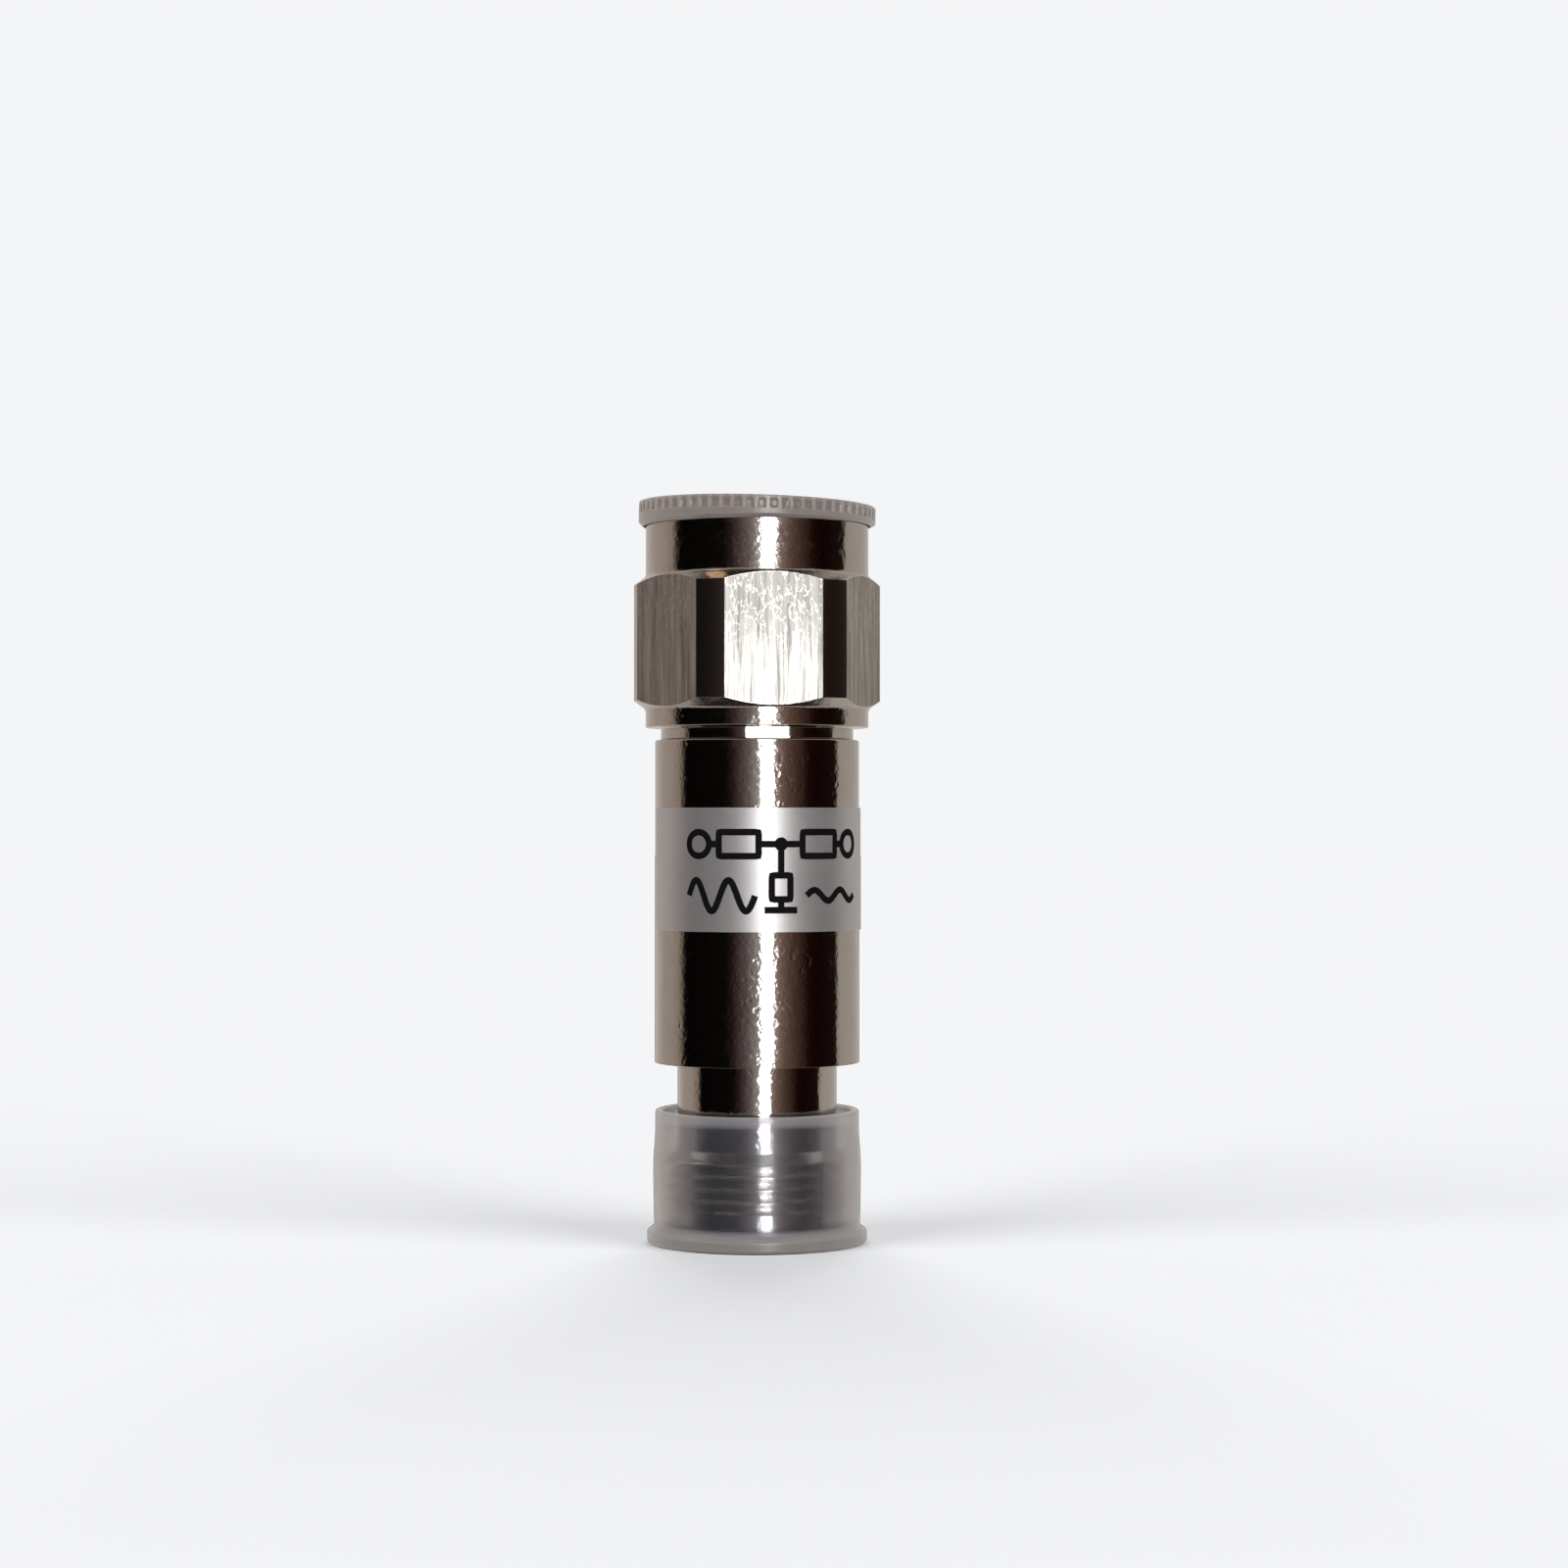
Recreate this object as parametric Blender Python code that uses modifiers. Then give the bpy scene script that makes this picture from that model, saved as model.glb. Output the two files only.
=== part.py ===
"""Coaxial fixed attenuator with a screw-on plug at the top and a threaded jack at the bottom.

It stands on the closed end of the jack's dust cap. The axis is +Z, the origin is the middle of
the cap's underside, and -Y is the front. Units are metres.
"""

import math

import bmesh
import bpy
from mathutils import Matrix, Vector

MM = 0.001

# Clearances
SEAT_GAP = 0.10 * MM
SLIDE_GAP = 0.10 * MM
SCREW_GAP = 0.10 * MM
GRIP_GAP = 0.05 * MM

# Interface shared by the plug and the jack
THREAD_MAJOR = 15.875 * MM
THREAD_PITCH = 1.058 * MM
LINE_BORE = 7.00 * MM
LINE_CORE = 3.04 * MM
SLEEVE_WALL = 0.50 * MM
PIN_DIA = 1.65 * MM
FACE_DEPTH = 9.10 * MM
SOCKET_RECESS = 4.10 * MM
PIN_SHOULDER_DEPTH = 5.40 * MM
PIN_PROUD = 0.30 * MM

# Form of a 60 degree thread, in shares of its pitch
OUTER_THREAD_DEPTH = 0.6134
INNER_THREAD_DEPTH = 0.5413
THREAD_CREST_FLAT = 0.125
FLANK_SLOPE = math.tan(math.radians(30))

# Dust cap over the jack
JACK_CAP_FLOOR = 1.00 * MM
JACK_CAP_WALL = 0.84 * MM
JACK_CAP_HEIGHT = 11.34 * MM
JACK_CAP_FLANGE_REACH = 0.51 * MM
JACK_CAP_FLANGE_SLOPE = 0.45 * MM
JACK_CAP_MOUTH_TAPER = 0.17 * MM
JACK_CAP_MOUTH_BAND = 2.20 * MM
JACK_CAP_FACE_GAP = 0.30 * MM
JACK_CAP_EDGE_CHAMFER = 0.25 * MM

# Jack shell
LEAD_LENGTH = 1.70 * MM
LEAD_CHAMFER = 0.30 * MM
THREAD_LENGTH = 4.25 * MM
THREAD_START = 1.30 * MM
CONE_HEIGHT = 0.83 * MM
NECK_DEPTH = 1.14 * MM
NECK_LENGTH = 7.34 * MM
JACK_LINE_LENGTH = 2.60 * MM
JACK_MOUTH_CHAMFER = 0.30 * MM

# Beads and what holds them
BEAD_LEDGE = 1.05 * MM
BEAD_LENGTH = 3.90 * MM
BEAD_HUB_DIA = 2.20 * MM
BEAD_DISH = 0.60 * MM
RETAINER_LEDGE = 0.75 * MM
RETAINER_SLOT_WIDTH = 1.20 * MM
RETAINER_SLOT_DEPTH = 0.90 * MM

# Tube
BODY_LEDGE = 0.95 * MM
BODY_WALL = 1.00 * MM
BODY_LENGTH = 27.52 * MM
BODY_LIP_HEIGHT = 2.00 * MM
BODY_EDGE_RADIUS = 0.20 * MM
FLANGE_HEIGHT = 3.00 * MM

# Label
LABEL_BOTTOM = 11.34 * MM
LABEL_HEIGHT = 10.38 * MM
LABEL_THICKNESS = 0.10 * MM
LABEL_START_DEG = -74.0
LABEL_END_DEG = 101.0

# Plug shell
SPIGOT_DEPTH = 5.00 * MM
COLLAR_STEP = 0.50 * MM
COLLAR_HEIGHT = 0.91 * MM
COLLAR_FLAT_DEPTH = 0.22 * MM
COLLAR_FLAT_TURN_DEG = 7.1
BEAD_SHOULDER_RISE = 1.96 * MM
JOURNAL_STEP = 0.87 * MM
SLEEVE_SLOT_WIDTH = 0.50 * MM
SLEEVE_SLOT_DEPTH = 5.00 * MM

# Coupling nut and its ring
NUT_PLAY = 0.10 * MM
NUT_WALL = 1.7825 * MM
NUT_TURN_DEG = 8.7
NUT_CORNER_STEP = 0.84 * MM
NUT_ROUND_UNDERCUT = 0.17 * MM
NUT_TAIL = 1.55 * MM
NUT_CHAMFER = 0.75 * MM
NUT_NOSE = 4.87 * MM
NUT_OVERHANG = 2.50 * MM
NUT_LIP = 2.10 * MM
NUT_LAND = 1.05 * MM
NUT_RELIEF_LENGTH = 2.10 * MM
NUT_MOUTH_CHAMFER = 0.70 * MM
RING_THICKNESS = 1.00 * MM
RING_WIDTH = 1.45 * MM
RING_INNER_BITE = 0.75 * MM
RING_GAP_WIDTH = 2.00 * MM
GASKET_THICKNESS = 1.45 * MM
GASKET_CHAMFER = 0.35 * MM

# Centre line
SOCKET_SLOT_WIDTH = 0.35 * MM
SOCKET_SLOT_DEPTH = 3.20 * MM
SOCKET_CLEARANCE = 0.08 * MM
SOCKET_DEPTH = 5.20 * MM
PIN_TAPER = 0.90 * MM
PIN_NOSE_DIA = 0.70 * MM
STUB_DIA = 1.20 * MM
STUB_LENGTH = 2.00 * MM
FORK_GRIP = 1.20 * MM
FORK_CHAMFER = 0.30 * MM

# Attenuator chip and its holder
CHIP_WIDTH = 9.00 * MM
CHIP_LENGTH = 9.00 * MM
CHIP_THICKNESS = 0.64 * MM
FILM_THICKNESS = 0.04 * MM
PAD_WIDTH = 2.20 * MM
PAD_LENGTH = 1.60 * MM
FILM_WIDTH = 4.20 * MM
FILM_LENGTH = 3.60 * MM
EDGE_BAND_WIDTH = 0.80 * MM
HOLDER_SPLIT = 0.10 * MM
HOLDER_CHAMFER = 0.30 * MM

# Dust cap in the plug
PLUG_CAP_TILT_DEG = 1.6
PLUG_CAP_TOP = 1.02 * MM
PLUG_CAP_FLANGE_REACH = 0.61 * MM
PLUG_CAP_LIP_DEPTH = 0.45 * MM
PLUG_CAP_LIP_SLOPE = 0.32 * MM
PLUG_CAP_EDGE_CHAMFER = 0.20 * MM
PLUG_CAP_SKIRT_LENGTH = 5.50 * MM
PLUG_CAP_SKIRT_WALL = 0.80 * MM
PLUG_CAP_SKIRT_GAP = 0.27 * MM
PLUG_CAP_FLOOR = 1.00 * MM
RIB_COUNT = 64
RIB_DEPTH = 0.16 * MM

# Smoothness of the turned pieces
NUT_STEPS = 48
BODY_STEPS = 48
CAP_STEPS = 36
SHELL_STEPS = 30
SMALL_STEPS = 18
PIN_STEPS = 16
ARC_STEPS = 2
SHARP_ANGLE = math.radians(32)

# Radii that follow from the interface
thread_radius = THREAD_MAJOR / 2
thread_root = thread_radius - OUTER_THREAD_DEPTH * THREAD_PITCH
lead_radius = thread_root - GRIP_GAP
nut_thread_radius = thread_radius - INNER_THREAD_DEPTH * THREAD_PITCH
line_radius = LINE_BORE / 2
core_radius = LINE_CORE / 2
sleeve_radius = line_radius + SLEEVE_WALL
jack_bore_radius = sleeve_radius + GRIP_GAP
bead_radius = line_radius + BEAD_LEDGE - SEAT_GAP
bead_bore_radius = line_radius + BEAD_LEDGE
retainer_bore_radius = bead_bore_radius + RETAINER_LEDGE
hub_radius = BEAD_HUB_DIA / 2
stub_radius = STUB_DIA / 2
neck_radius = thread_radius - NECK_DEPTH
cavity_radius = neck_radius + BODY_LEDGE
body_radius = cavity_radius + BODY_WALL
spigot_radius = cavity_radius - SCREW_GAP
collar_radius = body_radius - COLLAR_STEP
journal_radius = nut_thread_radius - JOURNAL_STEP
nut_flat_radius = thread_radius + NUT_WALL
nut_round_radius = nut_flat_radius - NUT_ROUND_UNDERCUT
nut_corner_radius = nut_flat_radius + NUT_CORNER_STEP
ring_inner_radius = journal_radius - RING_INNER_BITE
ring_outer_radius = ring_inner_radius + RING_WIDTH

# Heights that follow, from the table up
jack_face_z = JACK_CAP_FLOOR + JACK_CAP_FACE_GAP
thread_z = jack_face_z + LEAD_LENGTH
cone_z = thread_z + THREAD_LENGTH
neck_z = cone_z + CONE_HEIGHT
body_z = neck_z + NECK_LENGTH
body_top_z = body_z + BODY_LENGTH
jack_plane_z = jack_face_z + FACE_DEPTH
jack_shoulder_z = jack_plane_z + JACK_LINE_LENGTH
jack_bead_z = jack_shoulder_z + SEAT_GAP
jack_bead_top_z = jack_bead_z + BEAD_LENGTH
flange_z = body_z + BODY_LIP_HEIGHT + SEAT_GAP
jack_rear_z = flange_z + FLANGE_HEIGHT
plug_rear_z = body_top_z - SPIGOT_DEPTH
collar_z = body_top_z + GRIP_GAP
collar_top_z = collar_z + COLLAR_HEIGHT
plug_shoulder_z = body_top_z + BEAD_SHOULDER_RISE
plug_bead_z = plug_shoulder_z - SEAT_GAP - BEAD_LENGTH
nut_z = collar_top_z + NUT_PLAY
nut_groove_width = RING_THICKNESS + 4 * SLIDE_GAP
ring_z = nut_z + NUT_LIP + 2 * SLIDE_GAP
journal_top_z = nut_z + NUT_LIP + nut_groove_width + NUT_LAND
gasket_z = journal_top_z + SEAT_GAP
plug_face_z = gasket_z + GASKET_THICKNESS + SEAT_GAP + FACE_DEPTH
nut_top_z = plug_face_z + NUT_OVERHANG
nut_length = nut_top_z - nut_z
holder_z = jack_rear_z + SEAT_GAP
holder_length = plug_rear_z - SEAT_GAP - holder_z
chip_z = holder_z + holder_length / 2
chip_half = CHIP_LENGTH / 2


def clear_scene():
    """Start from an empty scene."""
    for old in list(bpy.data.objects):
        bpy.data.objects.remove(old, do_unlink=True)


def make_collection(name):
    collection = bpy.data.collections.new(name)
    bpy.context.scene.collection.children.link(collection)
    return collection


def make_material(name, color, roughness, metallic, alpha=1.0):
    """One plain finish: colour, roughness and how metallic it is."""
    material = bpy.data.materials.new(name)
    material.use_nodes = True
    shader = material.node_tree.nodes["Principled BSDF"]
    shader.inputs["Base Color"].default_value = (*color, 1.0)
    shader.inputs["Roughness"].default_value = roughness
    shader.inputs["Metallic"].default_value = metallic
    shader.inputs["Alpha"].default_value = alpha
    material.diffuse_color = (*color, alpha)
    return material


clear_scene()
parts = make_collection("rf_attenuator")
cutters = make_collection("cutters")
stand = bpy.data.objects.new("attenuator_axis", None)
parts.objects.link(stand)


def add_object(name, mesh, z=0.0, turn_deg=0.0, collection=parts):
    """Put a mesh into the scene on the common axis, at its height and turned about the axis."""
    piece = bpy.data.objects.new(name, mesh)
    collection.objects.link(piece)
    piece.parent = stand
    piece.location = (0.0, 0.0, z)
    piece.rotation_euler = (0.0, 0.0, math.radians(turn_deg))
    return piece


def dress(piece, color, roughness, metallic, alpha=1.0):
    """Give a piece its own finish."""
    piece.data.materials.clear()
    piece.data.materials.append(make_material(piece.name + "_finish", color, roughness, metallic, alpha))


def nickel(piece, roughness=0.14):
    dress(piece, (0.72, 0.69, 0.65), roughness, 1.0)


def gold(piece):
    dress(piece, (0.90, 0.66, 0.28), 0.18, 1.0)


def brass(piece):
    dress(piece, (0.78, 0.60, 0.30), 0.30, 1.0)


def settle(piece):
    """Turn the piece's modifiers into its mesh and shade it smooth between its edges."""
    bpy.context.view_layer.update()
    evaluated = piece.evaluated_get(bpy.context.evaluated_depsgraph_get())
    mesh = bpy.data.meshes.new_from_object(evaluated)
    blank = piece.data
    piece.modifiers.clear()
    piece.data = mesh
    bpy.data.meshes.remove(blank)
    mesh.shade_smooth()
    mesh.set_sharp_from_angle(angle=SHARP_ANGLE)
    return piece


def turned(name, profile, steps, z=0.0, turn_deg=0.0, collection=parts):
    """A piece turned on a lathe: its half section (radius, height) spun about the axis.

    The profile runs down the outer side. It closes on itself round a bore, or starts and ends
    on the axis where the piece is solid there.
    """
    mesh = bpy.data.meshes.new(name)
    points = [(radius, 0.0, height) for radius, height in profile]
    edges = [(i, i + 1) for i in range(len(points) - 1)]
    if profile[0][0] > 0.0:
        edges.append((len(points) - 1, 0))
    mesh.from_pydata(points, edges, [])
    piece = add_object(name, mesh, z, turn_deg, collection)
    screw = piece.modifiers.new("turning", "SCREW")
    screw.axis = "Z"
    screw.angle = 2 * math.pi
    screw.steps = steps
    screw.render_steps = steps
    screw.use_merge_vertices = True
    screw.merge_threshold = 0.00001
    return settle(piece)


def corner_arc(center_r, center_z, radius, start_deg, end_deg, steps=ARC_STEPS):
    """Points of a rounded edge in a half section."""
    arc = []
    for i in range(steps + 1):
        angle = math.radians(start_deg + (end_deg - start_deg) * i / steps)
        arc.append((center_r + radius * math.cos(angle), center_z + radius * math.sin(angle)))
    return arc


def block(name, size, center, turn_deg=0.0, collection=cutters):
    """A box of a given size, centred at a point and turned about the axis."""
    mesh = bpy.data.meshes.new(name)
    shape = bmesh.new()
    bmesh.ops.create_cube(shape, size=1.0)
    bmesh.ops.scale(shape, vec=Vector(size), verts=shape.verts)
    bmesh.ops.translate(shape, vec=Vector(center), verts=shape.verts)
    turn = Matrix.Rotation(math.radians(turn_deg), 3, "Z")
    bmesh.ops.rotate(shape, cent=(0, 0, 0), matrix=turn, verts=shape.verts)
    shape.to_mesh(mesh)
    shape.free()
    return add_object(name, mesh, collection=collection)


def prism(name, outline, height, z=0.0, turn_deg=0.0):
    """A flat outline pushed up into a prism that stands on its lower face."""
    curve = bpy.data.curves.new(name, "CURVE")
    curve.dimensions = "2D"
    curve.fill_mode = "BOTH"
    curve.extrude = height / 2
    spline = curve.splines.new("POLY")
    spline.points.add(len(outline) - 1)
    for point, (x, y) in zip(spline.points, outline):
        point.co = (x, y, 0.0, 1.0)
    spline.use_cyclic_u = True
    flat = bpy.data.objects.new(name + "_outline", curve)
    cutters.objects.link(flat)
    bpy.context.view_layer.update()
    mesh = bpy.data.meshes.new_from_object(flat.evaluated_get(bpy.context.evaluated_depsgraph_get()))
    bpy.data.objects.remove(flat)
    shape = bmesh.new()
    shape.from_mesh(mesh)
    bmesh.ops.remove_doubles(shape, verts=shape.verts, dist=0.000001)
    bmesh.ops.translate(shape, vec=(0.0, 0.0, height / 2), verts=shape.verts)
    bmesh.ops.recalc_face_normals(shape, faces=shape.faces)
    shape.to_mesh(mesh)
    shape.free()
    return add_object(name, mesh, z, turn_deg, cutters)


def as_cutter(piece):
    piece.hide_render = True
    piece.display_type = "WIRE"
    return piece


def boolean(piece, other, operation):
    """Cut, keep or join with another shape, which stays in the scene as a guide."""
    as_cutter(other)
    step = piece.modifiers.new(other.name, "BOOLEAN")
    step.operation = operation
    step.solver = "EXACT"
    step.object = other


def ring_section(inner, outer, bottom, top, chamfer=0.0):
    """The half section of a plain ring, with its outer edges chamfered if asked."""
    if chamfer <= 0.0:
        return [(outer, top), (outer, bottom), (inner, bottom), (inner, top)]
    return [
        (outer - chamfer, top),
        (outer, top - chamfer),
        (outer, bottom + chamfer),
        (outer - chamfer, bottom),
        (inner, bottom),
        (inner, top),
    ]


def make_jack_dust_cap():
    """Soft cup pushed over the jack's thread; its closed end has a flange to pull on."""
    inner = thread_radius + SLIDE_GAP
    outer = inner + JACK_CAP_WALL
    foot = outer - 0.5 * JACK_CAP_MOUTH_TAPER
    flange = foot + JACK_CAP_FLANGE_REACH + 0.5 * JACK_CAP_MOUTH_TAPER
    mouth = outer - JACK_CAP_MOUTH_TAPER
    belly_z = 0.5 * (thread_z + cone_z)
    profile = [
        (mouth, JACK_CAP_HEIGHT),
        (mouth, JACK_CAP_HEIGHT - JACK_CAP_MOUTH_BAND),
        (outer, cone_z),
        (outer, belly_z),
        (foot, JACK_CAP_FLOOR + JACK_CAP_FLANGE_SLOPE),
        (flange, JACK_CAP_FLOOR),
        (flange, JACK_CAP_EDGE_CHAMFER),
        (flange - JACK_CAP_EDGE_CHAMFER, 0.0),
        (0.0, 0.0),
    ]
    hollow = [
        (0.0, JACK_CAP_FLOOR),
        (inner, JACK_CAP_FLOOR),
        (inner, JACK_CAP_HEIGHT),
    ]
    cap = turned("jack_dust_cap", hollow + profile, CAP_STEPS)
    dress(cap, (0.80, 0.80, 0.78), 0.35, 0.0, 0.55)


def thread_groove(name, start, end, steps):
    """Cutter for the outer thread: the groove's section carried up a right-hand helix.

    Over its last quarter turn it moves out of the wall, so that the groove fades.
    """
    depth = thread_radius - thread_root
    mouth = 0.5 * (1 - THREAD_CREST_FLAT) * THREAD_PITCH
    floor = mouth - depth * FLANK_SLOPE
    proud = mouth + GRIP_GAP * FLANK_SLOPE
    section = [
        (thread_root, -floor),
        (thread_root, floor),
        (thread_radius + GRIP_GAP, proud),
        (thread_radius + GRIP_GAP, -proud),
    ]
    columns = math.ceil(steps * (end - start) / THREAD_PITCH)
    fade = steps // 4
    shape = bmesh.new()
    before = None
    for i in range(columns + 1):
        angle = 2 * math.pi * i / steps
        height = start + THREAD_PITCH * i / steps
        out = (depth + 2 * GRIP_GAP) * max(0.0, i - columns + fade) / fade
        turn = Matrix.Rotation(angle, 3, "Z")
        here = [
            shape.verts.new(turn @ Vector((radius + out, 0.0, height + rise)))
            for radius, rise in section
        ]
        if before is None:
            shape.faces.new(here)
        else:
            for a, b in ((0, 1), (1, 2), (2, 3), (3, 0)):
                shape.faces.new((before[a], before[b], here[b], here[a]))
        before = here
    shape.faces.new(before)
    bmesh.ops.recalc_face_normals(shape, faces=shape.faces)
    mesh = bpy.data.meshes.new(name)
    shape.to_mesh(mesh)
    shape.free()
    return add_object(name, mesh, collection=cutters)


def make_jack_shell():
    """The jack in one piece: threaded nose, neck, and the flange that the tube's lip holds."""
    profile = [
        (spigot_radius, jack_rear_z),
        (spigot_radius, flange_z),
        (neck_radius, flange_z),
        (neck_radius, neck_z),
        (thread_radius, cone_z),
        (thread_radius, thread_z),
        (lead_radius, thread_z),
        (lead_radius, jack_face_z + LEAD_CHAMFER),
        (lead_radius - LEAD_CHAMFER, jack_face_z),
        (jack_bore_radius + JACK_MOUTH_CHAMFER, jack_face_z),
        (jack_bore_radius, jack_face_z + JACK_MOUTH_CHAMFER),
        (jack_bore_radius, jack_plane_z),
        (line_radius, jack_plane_z),
        (line_radius, jack_shoulder_z),
        (bead_bore_radius, jack_shoulder_z),
        (bead_bore_radius, jack_bead_top_z),
        (retainer_bore_radius, jack_bead_top_z),
        (retainer_bore_radius, jack_rear_z),
    ]
    shell = turned("jack_shell", profile, SHELL_STEPS)
    boolean(shell, thread_groove("jack_thread", thread_z - THREAD_START, cone_z, SHELL_STEPS), "DIFFERENCE")
    nickel(shell)


def make_bead(name, z):
    """White bead between the shell and the centre conductor, with a shallow dish in each face."""
    dish = BEAD_DISH
    middle = 0.5 * (hub_radius + bead_radius)
    profile = [
        (bead_radius, BEAD_LENGTH),
        (bead_radius, 0.0),
        (middle + dish, 0.0),
        (middle, dish),
        (hub_radius + SEAT_GAP + dish, dish),
        (hub_radius + SEAT_GAP, 0.0),
        (hub_radius + SEAT_GAP, BEAD_LENGTH),
        (hub_radius + SEAT_GAP + dish, BEAD_LENGTH - dish),
        (middle, BEAD_LENGTH - dish),
        (middle + dish, BEAD_LENGTH),
    ]
    bead = turned(name, profile, SMALL_STEPS, z)
    dress(bead, (0.93, 0.93, 0.91), 0.45, 0.0)


def make_retainer(name, bottom, top, slot_side):
    """Screwed ring behind a bead, with two spanner slots across its outer face."""
    outer = retainer_bore_radius - SCREW_GAP
    retainer = turned(name, ring_section(line_radius, outer, bottom, top), SMALL_STEPS)
    slot_z = top if slot_side > 0 else bottom
    slot = block(
        name + "_slot",
        (4 * outer, RETAINER_SLOT_WIDTH, 2 * RETAINER_SLOT_DEPTH),
        (0.0, 0.0, slot_z),
    )
    boolean(retainer, slot, "DIFFERENCE")
    brass(retainer)


def cross_slots(piece, name, width, mouth_z, depth):
    """Four slots in the mouth of a thin tube, cut by two crossed blades."""
    size = (2 * body_radius, width, 2 * depth)
    for index, turn in enumerate((45.0, 135.0)):
        blade = block("{}_{}".format(name, index + 1), size, (0.0, 0.0, mouth_z), turn)
        boolean(piece, blade, "DIFFERENCE")


def make_jack_center_contact():
    """Slotted socket that takes the pin, with a thinner tail through its bead."""
    tip = jack_face_z + SOCKET_RECESS
    tail = jack_bead_top_z
    socket = PIN_DIA / 2 + SOCKET_CLEARANCE
    profile = [
        (hub_radius, tail),
        (hub_radius, jack_shoulder_z),
        (core_radius, jack_shoulder_z),
        (core_radius, tip),
        (socket, tip),
        (socket, tip + SOCKET_DEPTH),
        (0.0, tip + SOCKET_DEPTH),
    ]
    hole = [
        (0.0, tail - STUB_LENGTH - SEAT_GAP),
        (stub_radius + GRIP_GAP, tail - STUB_LENGTH - SEAT_GAP),
        (stub_radius + GRIP_GAP, tail),
    ]
    contact = turned("jack_center_contact", hole + profile, PIN_STEPS)
    cross_slots(contact, "socket_slot", SOCKET_SLOT_WIDTH, tip, SOCKET_SLOT_DEPTH)
    gold(contact)


def make_chip_contact(name, hub_end, direction):
    """Forked contact: its stub plugs into the centre conductor and its fork grips the chip's end.

    direction is +1 where the chip lies above the contact, and -1 where it lies below.
    """
    reach = direction * (chip_z - direction * chip_half - hub_end) + FORK_GRIP
    start = SEAT_GAP
    profile = [
        (0.0, reach),
        (core_radius - FORK_CHAMFER, reach),
        (core_radius, reach - FORK_CHAMFER),
        (core_radius, start),
        (stub_radius, start),
        (stub_radius, start - STUB_LENGTH),
        (0.0, start - STUB_LENGTH),
    ]
    contact = turned(name, profile, PIN_STEPS, hub_end)
    if direction < 0:
        contact.rotation_euler = (math.pi, 0.0, 0.0)
    slot = block(
        name + "_slot",
        (4 * core_radius, CHIP_THICKNESS + 2 * FILM_THICKNESS + 2 * GRIP_GAP, 2 * (FORK_GRIP + SEAT_GAP)),
        (0.0, 0.0, hub_end + direction * reach),
    )
    boolean(contact, slot, "DIFFERENCE")
    gold(contact)


def make_chip():
    """Ceramic plate with its resistor film, two end pads and two earthed edges, one fired piece."""
    size = (CHIP_WIDTH, CHIP_THICKNESS, CHIP_LENGTH)
    chip = block("attenuator_chip", size, (0.0, 0.0, chip_z), collection=parts)
    depth = FILM_THICKNESS + 0.5 * CHIP_THICKNESS
    y = -0.5 * depth
    edge_x = 0.5 * (CHIP_WIDTH - EDGE_BAND_WIDTH) - SEAT_GAP
    pad_z = chip_half - 0.5 * PAD_LENGTH - SEAT_GAP
    films = [
        ("chip_film", (FILM_WIDTH, FILM_LENGTH), 0.0, 0.0),
        ("chip_pad_in", (PAD_WIDTH, PAD_LENGTH), 0.0, pad_z),
        ("chip_pad_out", (PAD_WIDTH, PAD_LENGTH), 0.0, -pad_z),
        ("chip_earth_left", (EDGE_BAND_WIDTH, CHIP_LENGTH - 2 * SEAT_GAP), -edge_x, 0.0),
        ("chip_earth_right", (EDGE_BAND_WIDTH, CHIP_LENGTH - 2 * SEAT_GAP), edge_x, 0.0),
    ]
    for name, (width, length), x, rise in films:
        film = block(name, (width, depth, length), (x, y, chip_z + rise))
        boolean(chip, film, "UNION")
    dress(chip, (0.88, 0.87, 0.84), 0.5, 0.0)


def make_chip_holder(name, side):
    """Half of the split holder: it clamps the plate by both edges and fills the tube.

    side is -1 for the front half and +1 for the back half.
    """
    section = ring_section(line_radius, spigot_radius, 0.0, holder_length, HOLDER_CHAMFER)
    holder = turned(name, section, SHELL_STEPS, holder_z)
    far = 2 * body_radius
    other_half = block(
        name + "_split",
        (2 * far, far, 2 * holder_length),
        (0.0, side * 0.5 * (HOLDER_SPLIT - far), holder_z + holder_length / 2),
    )
    boolean(holder, other_half, "DIFFERENCE")
    pocket = block(
        name + "_pocket",
        (
            CHIP_WIDTH + 2 * SEAT_GAP,
            CHIP_THICKNESS + 2 * FILM_THICKNESS + 2 * GRIP_GAP,
            CHIP_LENGTH + 2 * SEAT_GAP,
        ),
        (0.0, 0.0, chip_z),
    )
    boolean(holder, pocket, "DIFFERENCE")
    brass(holder)


def make_main_body():
    """Plain tube with an inward lip at its lower end and a rounded upper edge."""
    edge = BODY_EDGE_RADIUS
    profile = [(cavity_radius, BODY_LENGTH)]
    profile += corner_arc(body_radius - edge, BODY_LENGTH - edge, edge, 90.0, 0.0)
    profile += [
        (body_radius, 0.0),
        (neck_radius + SLIDE_GAP, 0.0),
        (neck_radius + SLIDE_GAP, BODY_LIP_HEIGHT),
        (cavity_radius, BODY_LIP_HEIGHT),
    ]
    nickel(turned("main_body", profile, BODY_STEPS, body_z))


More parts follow.
